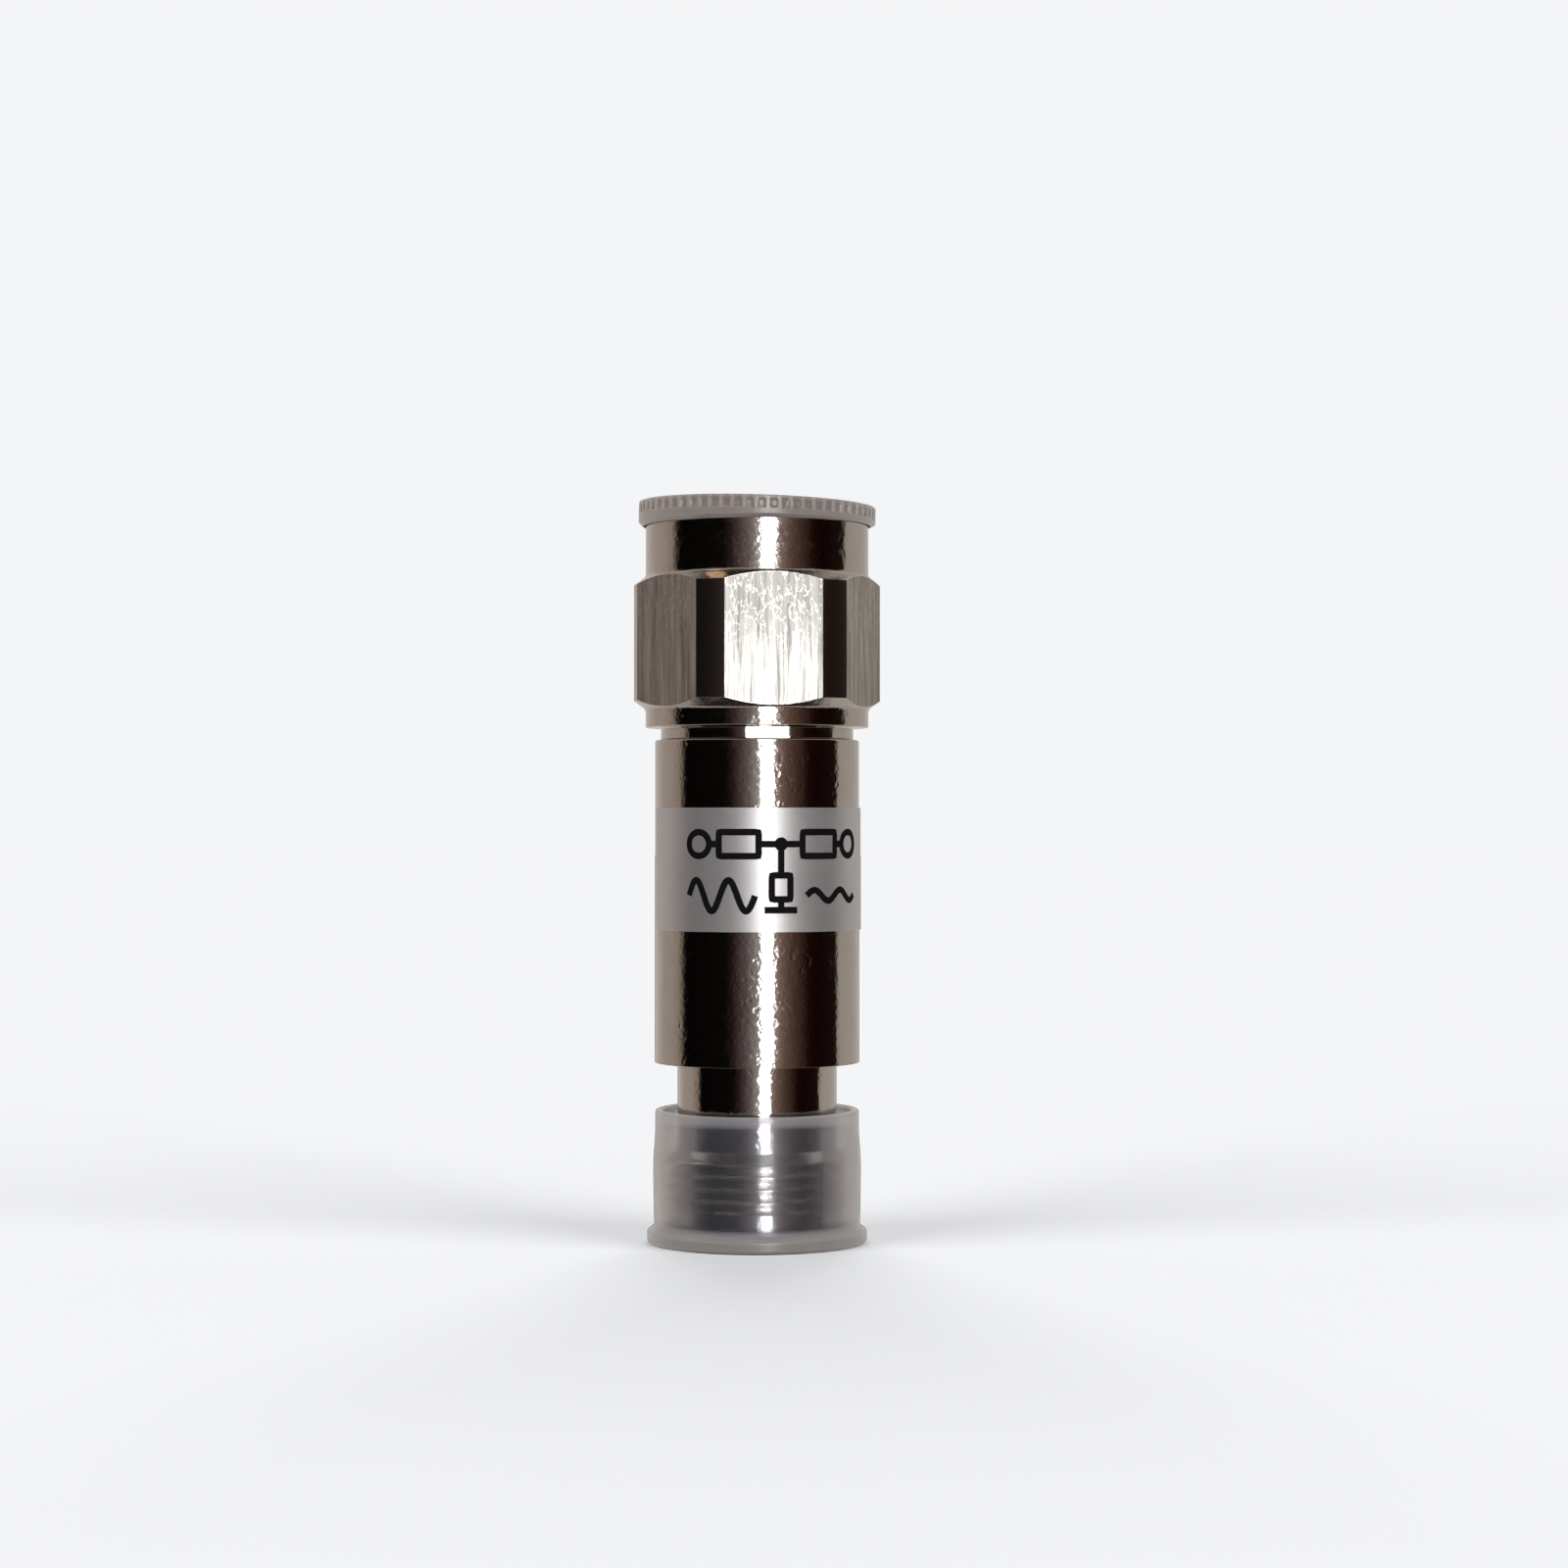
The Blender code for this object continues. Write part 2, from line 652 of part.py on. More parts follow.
def make_label():
    """Foil label: an arc of the tube's surface, given its thickness outwards."""
    radius = body_radius + GRIP_GAP
    start = math.radians(LABEL_START_DEG - 90.0)
    sweep = math.radians(LABEL_END_DEG - LABEL_START_DEG)
    steps = max(8, round(BODY_STEPS * sweep / (2 * math.pi)))
    mesh = bpy.data.meshes.new("rating_label")
    foot = (radius * math.cos(start), radius * math.sin(start), 0.0)
    head = (foot[0], foot[1], LABEL_HEIGHT)
    mesh.from_pydata([head, foot], [(0, 1)], [])
    label = add_object("rating_label", mesh, body_z + LABEL_BOTTOM)
    screw = label.modifiers.new("wrap", "SCREW")
    screw.axis = "Z"
    screw.angle = sweep
    screw.steps = steps
    screw.render_steps = steps
    foil = label.modifiers.new("foil", "SOLIDIFY")
    foil.thickness = LABEL_THICKNESS
    foil.offset = 1.0
    settle(label)
    dress(label, (0.75, 0.75, 0.75), 0.40, 0.8)


def make_plug_shell():
    """The plug in one piece: spigot in the tube, collar, journal for the nut, slotted outer contact."""
    groove_bottom = ring_z - SLIDE_GAP
    groove_top = ring_z + RING_THICKNESS + SLIDE_GAP
    groove_radius = ring_inner_radius - 1.5 * SLIDE_GAP
    profile = [
        (sleeve_radius, plug_face_z),
        (sleeve_radius, journal_top_z),
        (journal_radius, journal_top_z),
        (journal_radius, groove_top),
        (groove_radius, groove_top),
        (groove_radius, groove_bottom),
        (journal_radius, groove_bottom),
        (journal_radius, collar_top_z),
        (collar_radius, collar_top_z),
        (collar_radius, collar_z),
        (spigot_radius, collar_z),
        (spigot_radius, plug_rear_z),
        (retainer_bore_radius, plug_rear_z),
        (retainer_bore_radius, plug_bead_z),
        (bead_bore_radius, plug_bead_z),
        (bead_bore_radius, plug_shoulder_z),
        (line_radius, plug_shoulder_z),
        (line_radius, plug_face_z),
    ]
    shell = turned("plug_shell", profile, SHELL_STEPS)
    flat_center = collar_radius - COLLAR_FLAT_DEPTH + body_radius
    for index, turn in enumerate((0.0, 180.0)):
        flat = block(
            "collar_flat_{}".format(index + 1),
            (4 * body_radius, 2 * body_radius, COLLAR_HEIGHT + GRIP_GAP),
            (0.0, -flat_center, 0.5 * (collar_z + collar_top_z)),
            COLLAR_FLAT_TURN_DEG + turn,
        )
        boolean(shell, flat, "DIFFERENCE")
    cross_slots(shell, "sleeve_slot", SLEEVE_SLOT_WIDTH, plug_face_z, SLEEVE_SLOT_DEPTH)
    nickel(shell)


def make_plug_center_pin():
    """Pin with a tapered nose and a shoulder, and a thinner tail through its bead."""
    tail = plug_bead_z
    tip = plug_face_z + PIN_PROUD
    shoulder = plug_face_z - PIN_SHOULDER_DEPTH
    pin_radius = PIN_DIA / 2
    profile = [
        (0.0, tip),
        (PIN_NOSE_DIA / 2, tip),
        (pin_radius, tip - PIN_TAPER),
        (pin_radius, shoulder),
        (core_radius, shoulder),
        (core_radius, plug_shoulder_z),
        (hub_radius, plug_shoulder_z),
        (hub_radius, tail),
        (stub_radius + GRIP_GAP, tail),
        (stub_radius + GRIP_GAP, tail + STUB_LENGTH + SEAT_GAP),
        (0.0, tail + STUB_LENGTH + SEAT_GAP),
    ]
    gold(turned("plug_center_pin", profile, PIN_STEPS))


def make_plug_gasket():
    """Soft ring on the journal's end face, squeezed by the jack's front face."""
    inner = sleeve_radius + SLIDE_GAP
    outer = journal_radius - SLIDE_GAP
    section = ring_section(inner, outer, 0.0, GASKET_THICKNESS, GASKET_CHAMFER)
    gasket = turned("plug_gasket", section, SMALL_STEPS, gasket_z)
    dress(gasket, (0.62, 0.10, 0.07), 0.6, 0.0)


def make_retaining_ring():
    """Open snap ring, half in the shell's groove and half in the nut's."""
    section = ring_section(ring_inner_radius, ring_outer_radius, 0.0, RING_THICKNESS)
    ring = turned("nut_retaining_ring", section, SHELL_STEPS, ring_z)
    gap = block(
        "ring_gap",
        (RING_GAP_WIDTH, 2 * ring_outer_radius, 4 * RING_THICKNESS),
        (0.0, ring_outer_radius, ring_z),
    )
    boolean(ring, gap, "DIFFERENCE")
    dress(ring, (0.65, 0.58, 0.42), 0.3, 1.0)


def make_coupling_nut():
    """Hexagon nut: a turned blank with round ends and chamfers, kept inside a hexagonal bar."""
    lip_bore = journal_radius + SLIDE_GAP
    ring_bore = ring_outer_radius + 2 * SLIDE_GAP
    relief = thread_radius + SLIDE_GAP
    groove_top = NUT_LIP + nut_groove_width
    relief_z = journal_top_z - nut_z - SLIDE_GAP
    nose_z = nut_length - NUT_NOSE
    blank = [
        (nut_round_radius, nut_length),
        (nut_round_radius, nose_z),
        (nut_corner_radius, nose_z - NUT_CHAMFER),
        (nut_corner_radius, NUT_TAIL + NUT_CHAMFER),
        (nut_round_radius, NUT_TAIL),
        (nut_round_radius, 0.0),
        (lip_bore, 0.0),
        (lip_bore, NUT_LIP),
        (ring_bore, NUT_LIP),
        (ring_bore, groove_top),
        (lip_bore, groove_top),
        (lip_bore, relief_z),
        (relief, relief_z),
        (relief, relief_z + NUT_RELIEF_LENGTH),
        (nut_thread_radius, relief_z + NUT_RELIEF_LENGTH + relief - nut_thread_radius),
        (nut_thread_radius, nut_length - NUT_MOUTH_CHAMFER),
        (relief, nut_length),
    ]
    nut = turned("coupling_nut", blank, NUT_STEPS, nut_z, NUT_TURN_DEG)
    bar_corner = nut_flat_radius / math.cos(math.pi / 6)
    hexagon = [
        (bar_corner * math.cos(math.radians(60 * side)), bar_corner * math.sin(math.radians(60 * side)))
        for side in range(6)
    ]
    bar = prism("hexagon_bar", hexagon, 2 * nut_length, nut_z - 0.5 * nut_length, NUT_TURN_DEG)
    boolean(nut, bar, "INTERSECT")
    nickel(nut, 0.2)


def make_plug_dust_cap():
    """Soft cap pushed into the nut: a skirt below a ribbed flange, sitting slightly askew."""
    skirt = nut_thread_radius - PLUG_CAP_SKIRT_GAP
    rim = nut_round_radius + PLUG_CAP_FLANGE_REACH
    lip_inner = nut_round_radius + 1.5 * SLIDE_GAP
    edge = PLUG_CAP_EDGE_CHAMFER
    inner = skirt - PLUG_CAP_SKIRT_WALL
    profile = [
        (0.0, PLUG_CAP_TOP),
        (rim - edge, PLUG_CAP_TOP),
        (rim, PLUG_CAP_TOP - edge),
        (rim, PLUG_CAP_LIP_SLOPE - PLUG_CAP_LIP_DEPTH),
        (lip_inner + 0.25 * PLUG_CAP_LIP_SLOPE, -PLUG_CAP_LIP_DEPTH),
        (lip_inner, -PLUG_CAP_LIP_DEPTH),
        (lip_inner, 0.0),
        (skirt, 0.0),
        (skirt, -PLUG_CAP_SKIRT_LENGTH + edge),
        (skirt - edge, -PLUG_CAP_SKIRT_LENGTH),
        (inner, -PLUG_CAP_SKIRT_LENGTH),
        (inner, PLUG_CAP_TOP - PLUG_CAP_FLOOR),
        (0.0, PLUG_CAP_TOP - PLUG_CAP_FLOOR),
    ]
    tilt = math.radians(PLUG_CAP_TILT_DEG)
    seat_z = nut_top_z + nut_round_radius * math.sin(tilt) + GRIP_GAP
    cap = turned("plug_dust_cap", profile, CAP_STEPS, seat_z)
    teeth = []
    for i in range(2 * RIB_COUNT):
        angle = math.pi * i / RIB_COUNT
        radius = rim if i % 2 == 0 else rim - RIB_DEPTH
        teeth.append((radius * math.cos(angle), radius * math.sin(angle)))
    height = 2 * (PLUG_CAP_TOP + PLUG_CAP_SKIRT_LENGTH)
    ribs = prism("flange_ribs", teeth, height, seat_z)
    tilted_axis = Vector((math.sin(tilt), 0.0, math.cos(tilt)))
    ribs.rotation_euler = (0.0, tilt, 0.0)
    ribs.location = Vector((0.0, 0.0, seat_z)) - 0.5 * height * tilted_axis
    cap.rotation_euler = (0.0, tilt, 0.0)
    boolean(cap, ribs, "INTERSECT")
    dress(cap, (0.80, 0.79, 0.77), 0.38, 0.0, 0.75)


make_jack_dust_cap()
make_jack_shell()
make_bead("jack_insulator", jack_bead_z)
make_retainer("jack_bead_retainer", jack_bead_top_z + SEAT_GAP, jack_rear_z - SEAT_GAP, 1)
make_jack_center_contact()
make_chip_contact("output_chip_contact", jack_bead_top_z, 1)
make_chip()
make_chip_holder("chip_holder_front", -1)
make_chip_holder("chip_holder_back", 1)
make_main_body()
make_label()
make_chip_contact("input_chip_contact", plug_bead_z, -1)
make_plug_shell()
make_plug_center_pin()
make_bead("plug_insulator", plug_bead_z)
make_retainer("plug_bead_retainer", plug_rear_z + SEAT_GAP, plug_bead_z - SEAT_GAP, -1)
make_plug_gasket()
make_retaining_ring()
make_coupling_nut()
make_plug_dust_cap()
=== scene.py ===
"""Dresses the coaxial attenuator: fine turned metal, a real thread, soft clear caps and a foil label.

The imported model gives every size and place. -Y is the front, +Z runs up the axis. Units are metres.
"""

import math

import bmesh
import bpy
from mathutils import Matrix, Vector


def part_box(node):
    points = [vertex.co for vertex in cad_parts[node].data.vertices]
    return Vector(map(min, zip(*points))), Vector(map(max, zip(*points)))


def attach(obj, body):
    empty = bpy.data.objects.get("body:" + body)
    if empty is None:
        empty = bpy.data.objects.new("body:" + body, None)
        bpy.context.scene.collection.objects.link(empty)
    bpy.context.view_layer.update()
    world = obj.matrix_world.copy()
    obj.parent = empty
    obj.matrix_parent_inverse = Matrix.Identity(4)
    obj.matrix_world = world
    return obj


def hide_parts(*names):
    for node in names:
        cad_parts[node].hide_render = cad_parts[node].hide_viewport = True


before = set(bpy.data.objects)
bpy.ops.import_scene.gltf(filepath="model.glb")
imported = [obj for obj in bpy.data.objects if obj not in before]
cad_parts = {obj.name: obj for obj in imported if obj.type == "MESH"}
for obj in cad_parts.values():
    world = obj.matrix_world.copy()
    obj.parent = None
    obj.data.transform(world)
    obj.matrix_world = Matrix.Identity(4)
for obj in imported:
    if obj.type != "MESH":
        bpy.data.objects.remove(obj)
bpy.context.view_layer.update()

MM = 0.001

# How finely the turned pieces are made
ROUND_STEPS = 192
JACK_STEPS = 256
SMALL_STEPS = 96
EDGE_STEPS = 6
SUPPORT = 0.03 * MM
SMOOTH_BELOW = math.radians(20)

# Small edges and gaps
LIGHT_EDGE = 0.06 * MM
SOFT_EDGE = 0.15 * MM
SEAT_GAP = 0.10 * MM
SLIDE_GAP = 0.10 * MM

# The thread. It starts this far below the threaded length, at +X
THREAD_PITCH = 1.058 * MM
THREAD_DEPTH = 0.649 * MM
THREAD_START = 1.30 * MM
THREAD_FADE = 0.8 * MM
CREST_SHARE = 0.125
ROOT_SHARE = 0.167

# The jack below the tube
LEAD_LENGTH = 1.70 * MM
THREAD_LENGTH = 4.25 * MM
CONE_HEIGHT = 0.83 * MM
NECK_RADIUS = 6.7975 * MM
LEAD_SLOPE = 3.0

# The nut
NUT_TURN_DEG = 8.7
NUT_FLAT = 9.72 * MM
NUT_CORNER = 10.56 * MM
NUT_ROUND = 9.55 * MM
NUT_TAIL = 1.55 * MM
NUT_CHAMFER = 0.75 * MM
NUT_NOSE = 4.87 * MM
NUT_MINOR = 7.365 * MM
NUT_RELIEF = 8.0375 * MM
# A band under the nose: curl marks on every flat, and painted shade on the front flat
NUT_CURLS_AND_SHADE_LOW = 49.0 * MM
NUT_CURLS_AND_SHADE_HIGH = 53.5 * MM
NUT_THREAD_DEPTH = 0.56 * MM
# The front flat, which gets a painted highlight and painted shade
FRONT_FLAT_MIDDLE = 1.5 * MM
FRONT_FLAT_HALF = 5.5 * MM
FLAT_COLUMNS = 20
CORNER_COLUMNS = 8

# The plug's collar and its two flats
COLLAR_TURN_DEG = 7.1
COLLAR_RADIUS = 8.2475 * MM
COLLAR_FLAT_DEPTH = 0.22 * MM
COLLAR_GAP = 0.05 * MM

# The line inside both connectors. The chip's contacts screw into the holes of pin and socket
SPIGOT_STEP = 1.1 * MM
LINE_BORE = 3.5 * MM
BEAD_SEAT = 4.55 * MM
RETAINER_SEAT = 5.3 * MM
CORE = 1.52 * MM
CORE_NECK = 1.1 * MM
SCREW_HOLE = 0.65 * MM
SCREW_DEPTH = 2.1 * MM
SLOT_TURNS_DEG = (45.0, 135.0)

# The label
LABEL_START_DEG = -74.0
LABEL_END_DEG = 101.0
LABEL_THICKNESS = 0.08 * MM
LABEL_GAP = 0.05 * MM
INK_WIDTH = 0.55 * MM
INK_THICKNESS = 0.02 * MM

# The cap pushed into the nut. It is askew, and the lower edge of its lip is level
CAP_TILT_DEG = 1.6
CAP_LIP_LEVEL = 61.26 * MM
RIB_COUNT = 64
RIB_DEPTH = 0.13 * MM
RIB_SLOPE = 0.3

# Where the painted highlight on its rib crests begins and is full: upwards, then outwards
RIB_HIGHLIGHT_UP = (61.95 * MM, 62.10 * MM)
RIB_HIGHLIGHT_OUT = (9.75 * MM, 9.95 * MM)

# The clear cup: its wall is thin between two heights, and its rim is outside a radius
CLEAR_WALL_LOW = 1.9 * MM
CLEAR_RIM = 10.45 * MM
CLEAR_RIM_INSIDE = 8.45 * MM


def bottom(node):
    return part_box(node)[0][2]


def top(node):
    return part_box(node)[1][2]


def reach(node):
    """Half of a node's width across the front."""
    return 0.5 * (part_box(node)[1][0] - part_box(node)[0][0])


# Shader nodes


def wire(tree, socket, value):
    """Feed a socket from another socket, or set it to a number or colour."""
    if isinstance(value, bpy.types.NodeSocket):
        tree.links.new(value, socket)
    elif value is not None:
        socket.default_value = value


def calc(tree, operation, *values):
    """One Math node; it works in shader trees and in Geometry Nodes trees."""
    node = tree.nodes.new("ShaderNodeMath")
    node.operation = operation
    for socket, value in zip(node.inputs, values):
        wire(tree, socket, value)
    return node.outputs[0]


def start_material(name, **sockets):
    """A material whose shader has these constant values; spaces in names are underscores here."""
    material = bpy.data.materials.new(name)
    material.use_nodes = True
    shader = material.node_tree.nodes["Principled BSDF"]
    for socket, value in sockets.items():
        shader.inputs[socket.replace("_", " ")].default_value = value
    return material, material.node_tree, shader


def pattern(tree, scale, detail=3.0, roughness=0.5, stretch=(1.0, 1.0, 1.0)):
    """Noise over the piece itself; stretch makes streaks along the axis with the smallest number."""
    place = tree.nodes.new("ShaderNodeTexCoord")
    mapping = tree.nodes.new("ShaderNodeMapping")
    mapping.inputs["Scale"].default_value = stretch
    tree.links.new(place.outputs["Object"], mapping.inputs["Vector"])
    noise = tree.nodes.new("ShaderNodeTexNoise")
    noise.inputs["Scale"].default_value = scale
    noise.inputs["Detail"].default_value = detail
    noise.inputs["Roughness"].default_value = roughness
    tree.links.new(mapping.outputs["Vector"], noise.inputs["Vector"])
    return noise.outputs["Fac"]


def spread(tree, value, low, high, from_low=0.3, from_high=0.7):
    """Map a pattern onto a range of values."""
    node = tree.nodes.new("ShaderNodeMapRange")
    wire(tree, node.inputs["Value"], value)
    node.inputs["From Min"].default_value = from_low
    node.inputs["From Max"].default_value = from_high
    node.inputs["To Min"].default_value = low
    node.inputs["To Max"].default_value = high
    return node.outputs["Result"]


def place_on_piece(tree):
    """Where a point lies on the piece itself: sockets X, Y and Z."""
    place = tree.nodes.new("ShaderNodeTexCoord")
    split = tree.nodes.new("ShaderNodeSeparateXYZ")
    tree.links.new(place.outputs["Object"], split.inputs[0])
    return split.outputs


def clamp(tree, value):
    """Keep a value between 0 and 1."""
    return calc(tree, "MINIMUM", calc(tree, "MAXIMUM", value, 0.0), 1.0)


def distance_out(tree, x, y):
    """How far out from the axis."""
    return calc(tree, "SQRT", calc(tree, "ADD", calc(tree, "MULTIPLY", x, x), calc(tree, "MULTIPLY", y, y)))


def blend_colors(tree, factor, first, second):
    node = tree.nodes.new("ShaderNodeMix")
    node.data_type = "RGBA"
    wire(tree, node.inputs["Factor"], factor)
    wire(tree, node.inputs[6], first)
    wire(tree, node.inputs[7], second)
    return node.outputs[2]


def relief(tree, shader, height, depth, strength=1.0, below=None):
    """Add bump of a real depth, over another bump if one is given."""
    bump = tree.nodes.new("ShaderNodeBump")
    bump.inputs["Strength"].default_value = strength
    bump.inputs["Distance"].default_value = depth
    wire(tree, bump.inputs["Height"], height)
    if below is not None:
        tree.links.new(below, bump.inputs["Normal"])
    tree.links.new(bump.outputs["Normal"], shader.inputs["Normal"])
    return bump.outputs["Normal"]


def mottle(tree, shader, scale, color, shade):
    """A base colour that drifts between two tones."""
    cloud = pattern(tree, scale, 4.0)
    tone = blend_colors(tree, spread(tree, cloud, 0.0, 1.0), (*color, 1.0), (*shade, 1.0))
    tree.links.new(tone, shader.inputs["Base Color"])


def plated_metal(name, color, shade, roughness, peel=13.0e-6, speck=3.0):
    """Bright plate over turned metal: slow waves, orange peel, a few dents, fine grain, hazy specks."""
    material, tree, shader = start_material(name, Metallic=1.0)
    mottle(tree, shader, 420.0, color, shade)
    haze = pattern(tree, 1500.0, 6.0, 0.7)
    tree.links.new(spread(tree, haze, roughness, speck * roughness, 0.5, 0.75), shader.inputs["Roughness"])
    waves = relief(tree, shader, pattern(tree, 300.0, 2.0), 2.0 * peel)
    dents = spread(tree, pattern(tree, 1500.0, 1.0), 0.0, 1.0, 0.58, 0.80)
    patches = spread(tree, pattern(tree, 210.0, 2.0), 0.0, 1.0, 0.44, 0.62)
    waves = relief(tree, shader, calc(tree, "MULTIPLY", dents, patches), -1.4 * peel, below=waves)
    skin = relief(tree, shader, pattern(tree, 2200.0, 2.0, 0.5), peel, below=waves)
    relief(tree, shader, pattern(tree, 4300.0, 2.0, 0.5), 0.45 * peel, below=skin)
    return material


def brushed_flats(name, color, shade):
    """Nickel brushed along the axis: long scratches of several widths, and short curls near the nose. The
    front flat has a painted highlight, paler tones than the other flats, and painted shade towards its top.
    """
    material, tree, shader = start_material(name, Metallic=1.0)
    wide = pattern(tree, 1500.0, 4.0, 0.6, (1.0, 1.0, 0.06))
    fine = pattern(tree, 6000.0, 5.0, 0.7, (1.0, 1.0, 0.04))
    streaks = calc(tree, "ADD", calc(tree, "MULTIPLY", wide, 0.5), calc(tree, "MULTIPLY", fine, 0.5))
    place = place_on_piece(tree)
    # A band under the nose: curl marks on every flat, and painted shade on the front flat
    curls_and_painted_shade = spread(tree, place["Z"], 0.0, 1.0, NUT_CURLS_AND_SHADE_LOW, NUT_CURLS_AND_SHADE_HIGH)
    from_flat = calc(tree, "ABSOLUTE", calc(tree, "SUBTRACT", place["X"], FRONT_FLAT_MIDDLE))
    is_front = calc(tree, "LESS_THAN", from_flat, FRONT_FLAT_HALF)
    # Painted shade: the front flat is darker towards its top
    painted_shade = calc(tree, "MULTIPLY", curls_and_painted_shade, is_front)
    curls = pattern(tree, 1300.0, 3.0, 0.6, (1.0, 1.0, 0.5))
    off_line = calc(tree, "ABSOLUTE", calc(tree, "SUBTRACT", curls, 0.5))
    marks = spread(tree, off_line, 1.0, 0.0, 0.0, 0.03)
    lift = calc(tree, "MULTIPLY", calc(tree, "MULTIPLY", marks, curls_and_painted_shade), 0.6)
    bright = spread(tree, streaks, 0.0, 1.0, 0.40, 0.60)
    kept = calc(tree, "MULTIPLY", bright, spread(tree, painted_shade, 1.0, 0.30, 0.0, 1.0))
    share = calc(tree, "MINIMUM", calc(tree, "ADD", kept, lift), 1.0)
    tone = blend_colors(tree, share, (*shade, 1.0), (*color, 1.0))
    # Painted highlight: the front flat gets paler tones than the other flats
    painted_highlight_tone = blend_colors(tree, share, (0.34, 0.335, 0.31, 1.0), (1.0, 0.99, 0.95, 1.0))
    tone = blend_colors(tree, is_front, tone, painted_highlight_tone)
    tree.links.new(tone, shader.inputs["Base Color"])
    tree.links.new(spread(tree, share, 0.50, 0.38, 0.0, 1.0), shader.inputs["Roughness"])
    below = relief(tree, shader, wide, 6.0e-6)
    below = relief(tree, shader, marks, 3.0e-6, below=below)
    relief(tree, shader, fine, 2.0e-6, below=below)
    return material


def soft_plastic(
    name, thin, thick, clear, roughness, scatter, bend, walls=(0.0, 1.0), pale=None, highlight_share=None
):
    """Moulded polyethylene: part of the light passes, part is scattered inside.

    clear is how much passes face on, and then edge on, where a wall is milky, and thin is its colour
    there. Below and above the two heights of walls the moulding is thick: it lets little through.
    """
    material, tree, shader = start_material(
        name,
        Subsurface_Weight=1.0,
        Subsurface_Radius=(1.0, 0.95, 0.9),
        Subsurface_Scale=scatter,
        IOR=bend,
        Specular_IOR_Level=0.4,
        Coat_Weight=1.0,
        Coat_Roughness=0.30,
    )
    facing = tree.nodes.new("ShaderNodeLayerWeight")
    facing.inputs["Blend"].default_value = 0.5
    wall = spread(tree, facing.outputs["Facing"], clear[0], clear[1], 0.12, 0.65)
    x, y, z = place_on_piece(tree)
    is_over = spread(tree, z, 0.0, 1.0, walls[0] - 0.6 * MM, walls[0])
    is_outside = calc(tree, "GREATER_THAN", distance_out(tree, x, y), CLEAR_RIM_INSIDE)
    is_high = spread(tree, z, 0.0, 0.6, walls[1] - 0.2 * MM, walls[1] + 0.4 * MM)
    is_rim = calc(tree, "MULTIPLY", is_outside, is_high)
    is_thin = calc(tree, "SUBTRACT", is_over, is_rim)
    passing = calc(tree, "MULTIPLY", wall, spread(tree, is_thin, 0.3, 1.0, 0.0, 1.0))
    tree.links.new(passing, shader.inputs["Transmission Weight"])
    slant = spread(tree, facing.outputs["Facing"], 0.0, 1.0, 0.08, 0.40)
    wall_tone = blend_colors(tree, slant, (*thin[0], 1.0), (*thin[1], 1.0))
    base = blend_colors(tree, is_thin, (*thick, 1.0), wall_tone)
    # Painted highlight: the pale colour where the given share says
    if pale is not None:
        base = blend_colors(tree, highlight_share(tree), base, (*pale, 1.0))
    cloud = pattern(tree, 260.0, 3.0)
    tone = tree.nodes.new("ShaderNodeHueSaturation")
    wire(tree, tone.inputs["Color"], base)
    wire(tree, tone.inputs["Value"], spread(tree, cloud, 0.94, 1.06))
    tree.links.new(tone.outputs[0], shader.inputs["Base Color"])
    grain = pattern(tree, 1500.0, 4.0, 0.6)
    tree.links.new(spread(tree, grain, 0.8 * roughness, 1.2 * roughness), shader.inputs["Roughness"])
    relief(tree, shader, pattern(tree, 700.0, 3.0), 3.0e-6)
    return material


def rib_crest_highlight(tree):
    """1 on the crests of the upper cap's ribs, where a painted highlight makes the plastic paler."""
    x, y, z = place_on_piece(tree)
    level = calc(tree, "ADD", z, calc(tree, "MULTIPLY", x, math.sin(math.radians(CAP_TILT_DEG))))
    above_lip = spread(tree, level, 0.0, 1.0, *RIB_HIGHLIGHT_UP)
    far_out = spread(tree, distance_out(tree, x, y), 0.0, 1.0, *RIB_HIGHLIGHT_OUT)
    is_edge = calc(tree, "MULTIPLY", above_lip, far_out)
    turn = calc(tree, "MULTIPLY", calc(tree, "ARCTAN2", y, x), RIB_COUNT / (2 * math.pi))
    phase = calc(tree, "FRACT", calc(tree, "ADD", turn, 0.5))
    off_rib = calc(tree, "ABSOLUTE", calc(tree, "SUBTRACT", phase, 0.5))
    return calc(tree, "MULTIPLY", spread(tree, off_rib, 1.0, 0.0, 0.08, 0.22), is_edge)


def matte_solid(name, color, shade, roughness, grain_scale=1800.0, grain=4.0e-6, **sockets):
    """A plain solid finish with a little mottling and grain."""
    material, tree, shader = start_material(name, **sockets)
    mottle(tree, shader, 500.0, color, shade)
    grainy = pattern(tree, grain_scale, 4.0, 0.6)
    tree.links.new(spread(tree, grainy, 0.85 * roughness, 1.15 * roughness), shader.inputs["Roughness"])
    relief(tree, shader, grainy, grain)
    return material


def label_foil():
    """Silver film: satin, finely grained, a little darker where it was handled."""
    material, tree, shader = start_material("label_foil", Metallic=0.86)
    mottle(tree, shader, 300.0, (0.78, 0.77, 0.78), (0.73, 0.72, 0.73))
    grain = pattern(tree, 5000.0, 3.0, 0.6)
    tree.links.new(spread(tree, grain, 0.40, 0.50), shader.inputs["Roughness"])
    relief(tree, shader, grain, 1.0e-6)
    return material


nickel = plated_metal("nickel_plating", (0.72, 0.685, 0.65), (0.67, 0.63, 0.59), 0.075)
nut_nickel = plated_metal("nut_nickel", (0.72, 0.685, 0.65), (0.67, 0.63, 0.59), 0.085)
# Painted shade: a darker, browner copy of the nut's nickel, for its turned corners
nut_corner_painted_shade = plated_metal(
    "nut_corner_painted_shade", (0.64, 0.55, 0.50), (0.60, 0.51, 0.46), 0.25, peel=3.0e-6, speck=1.1
)
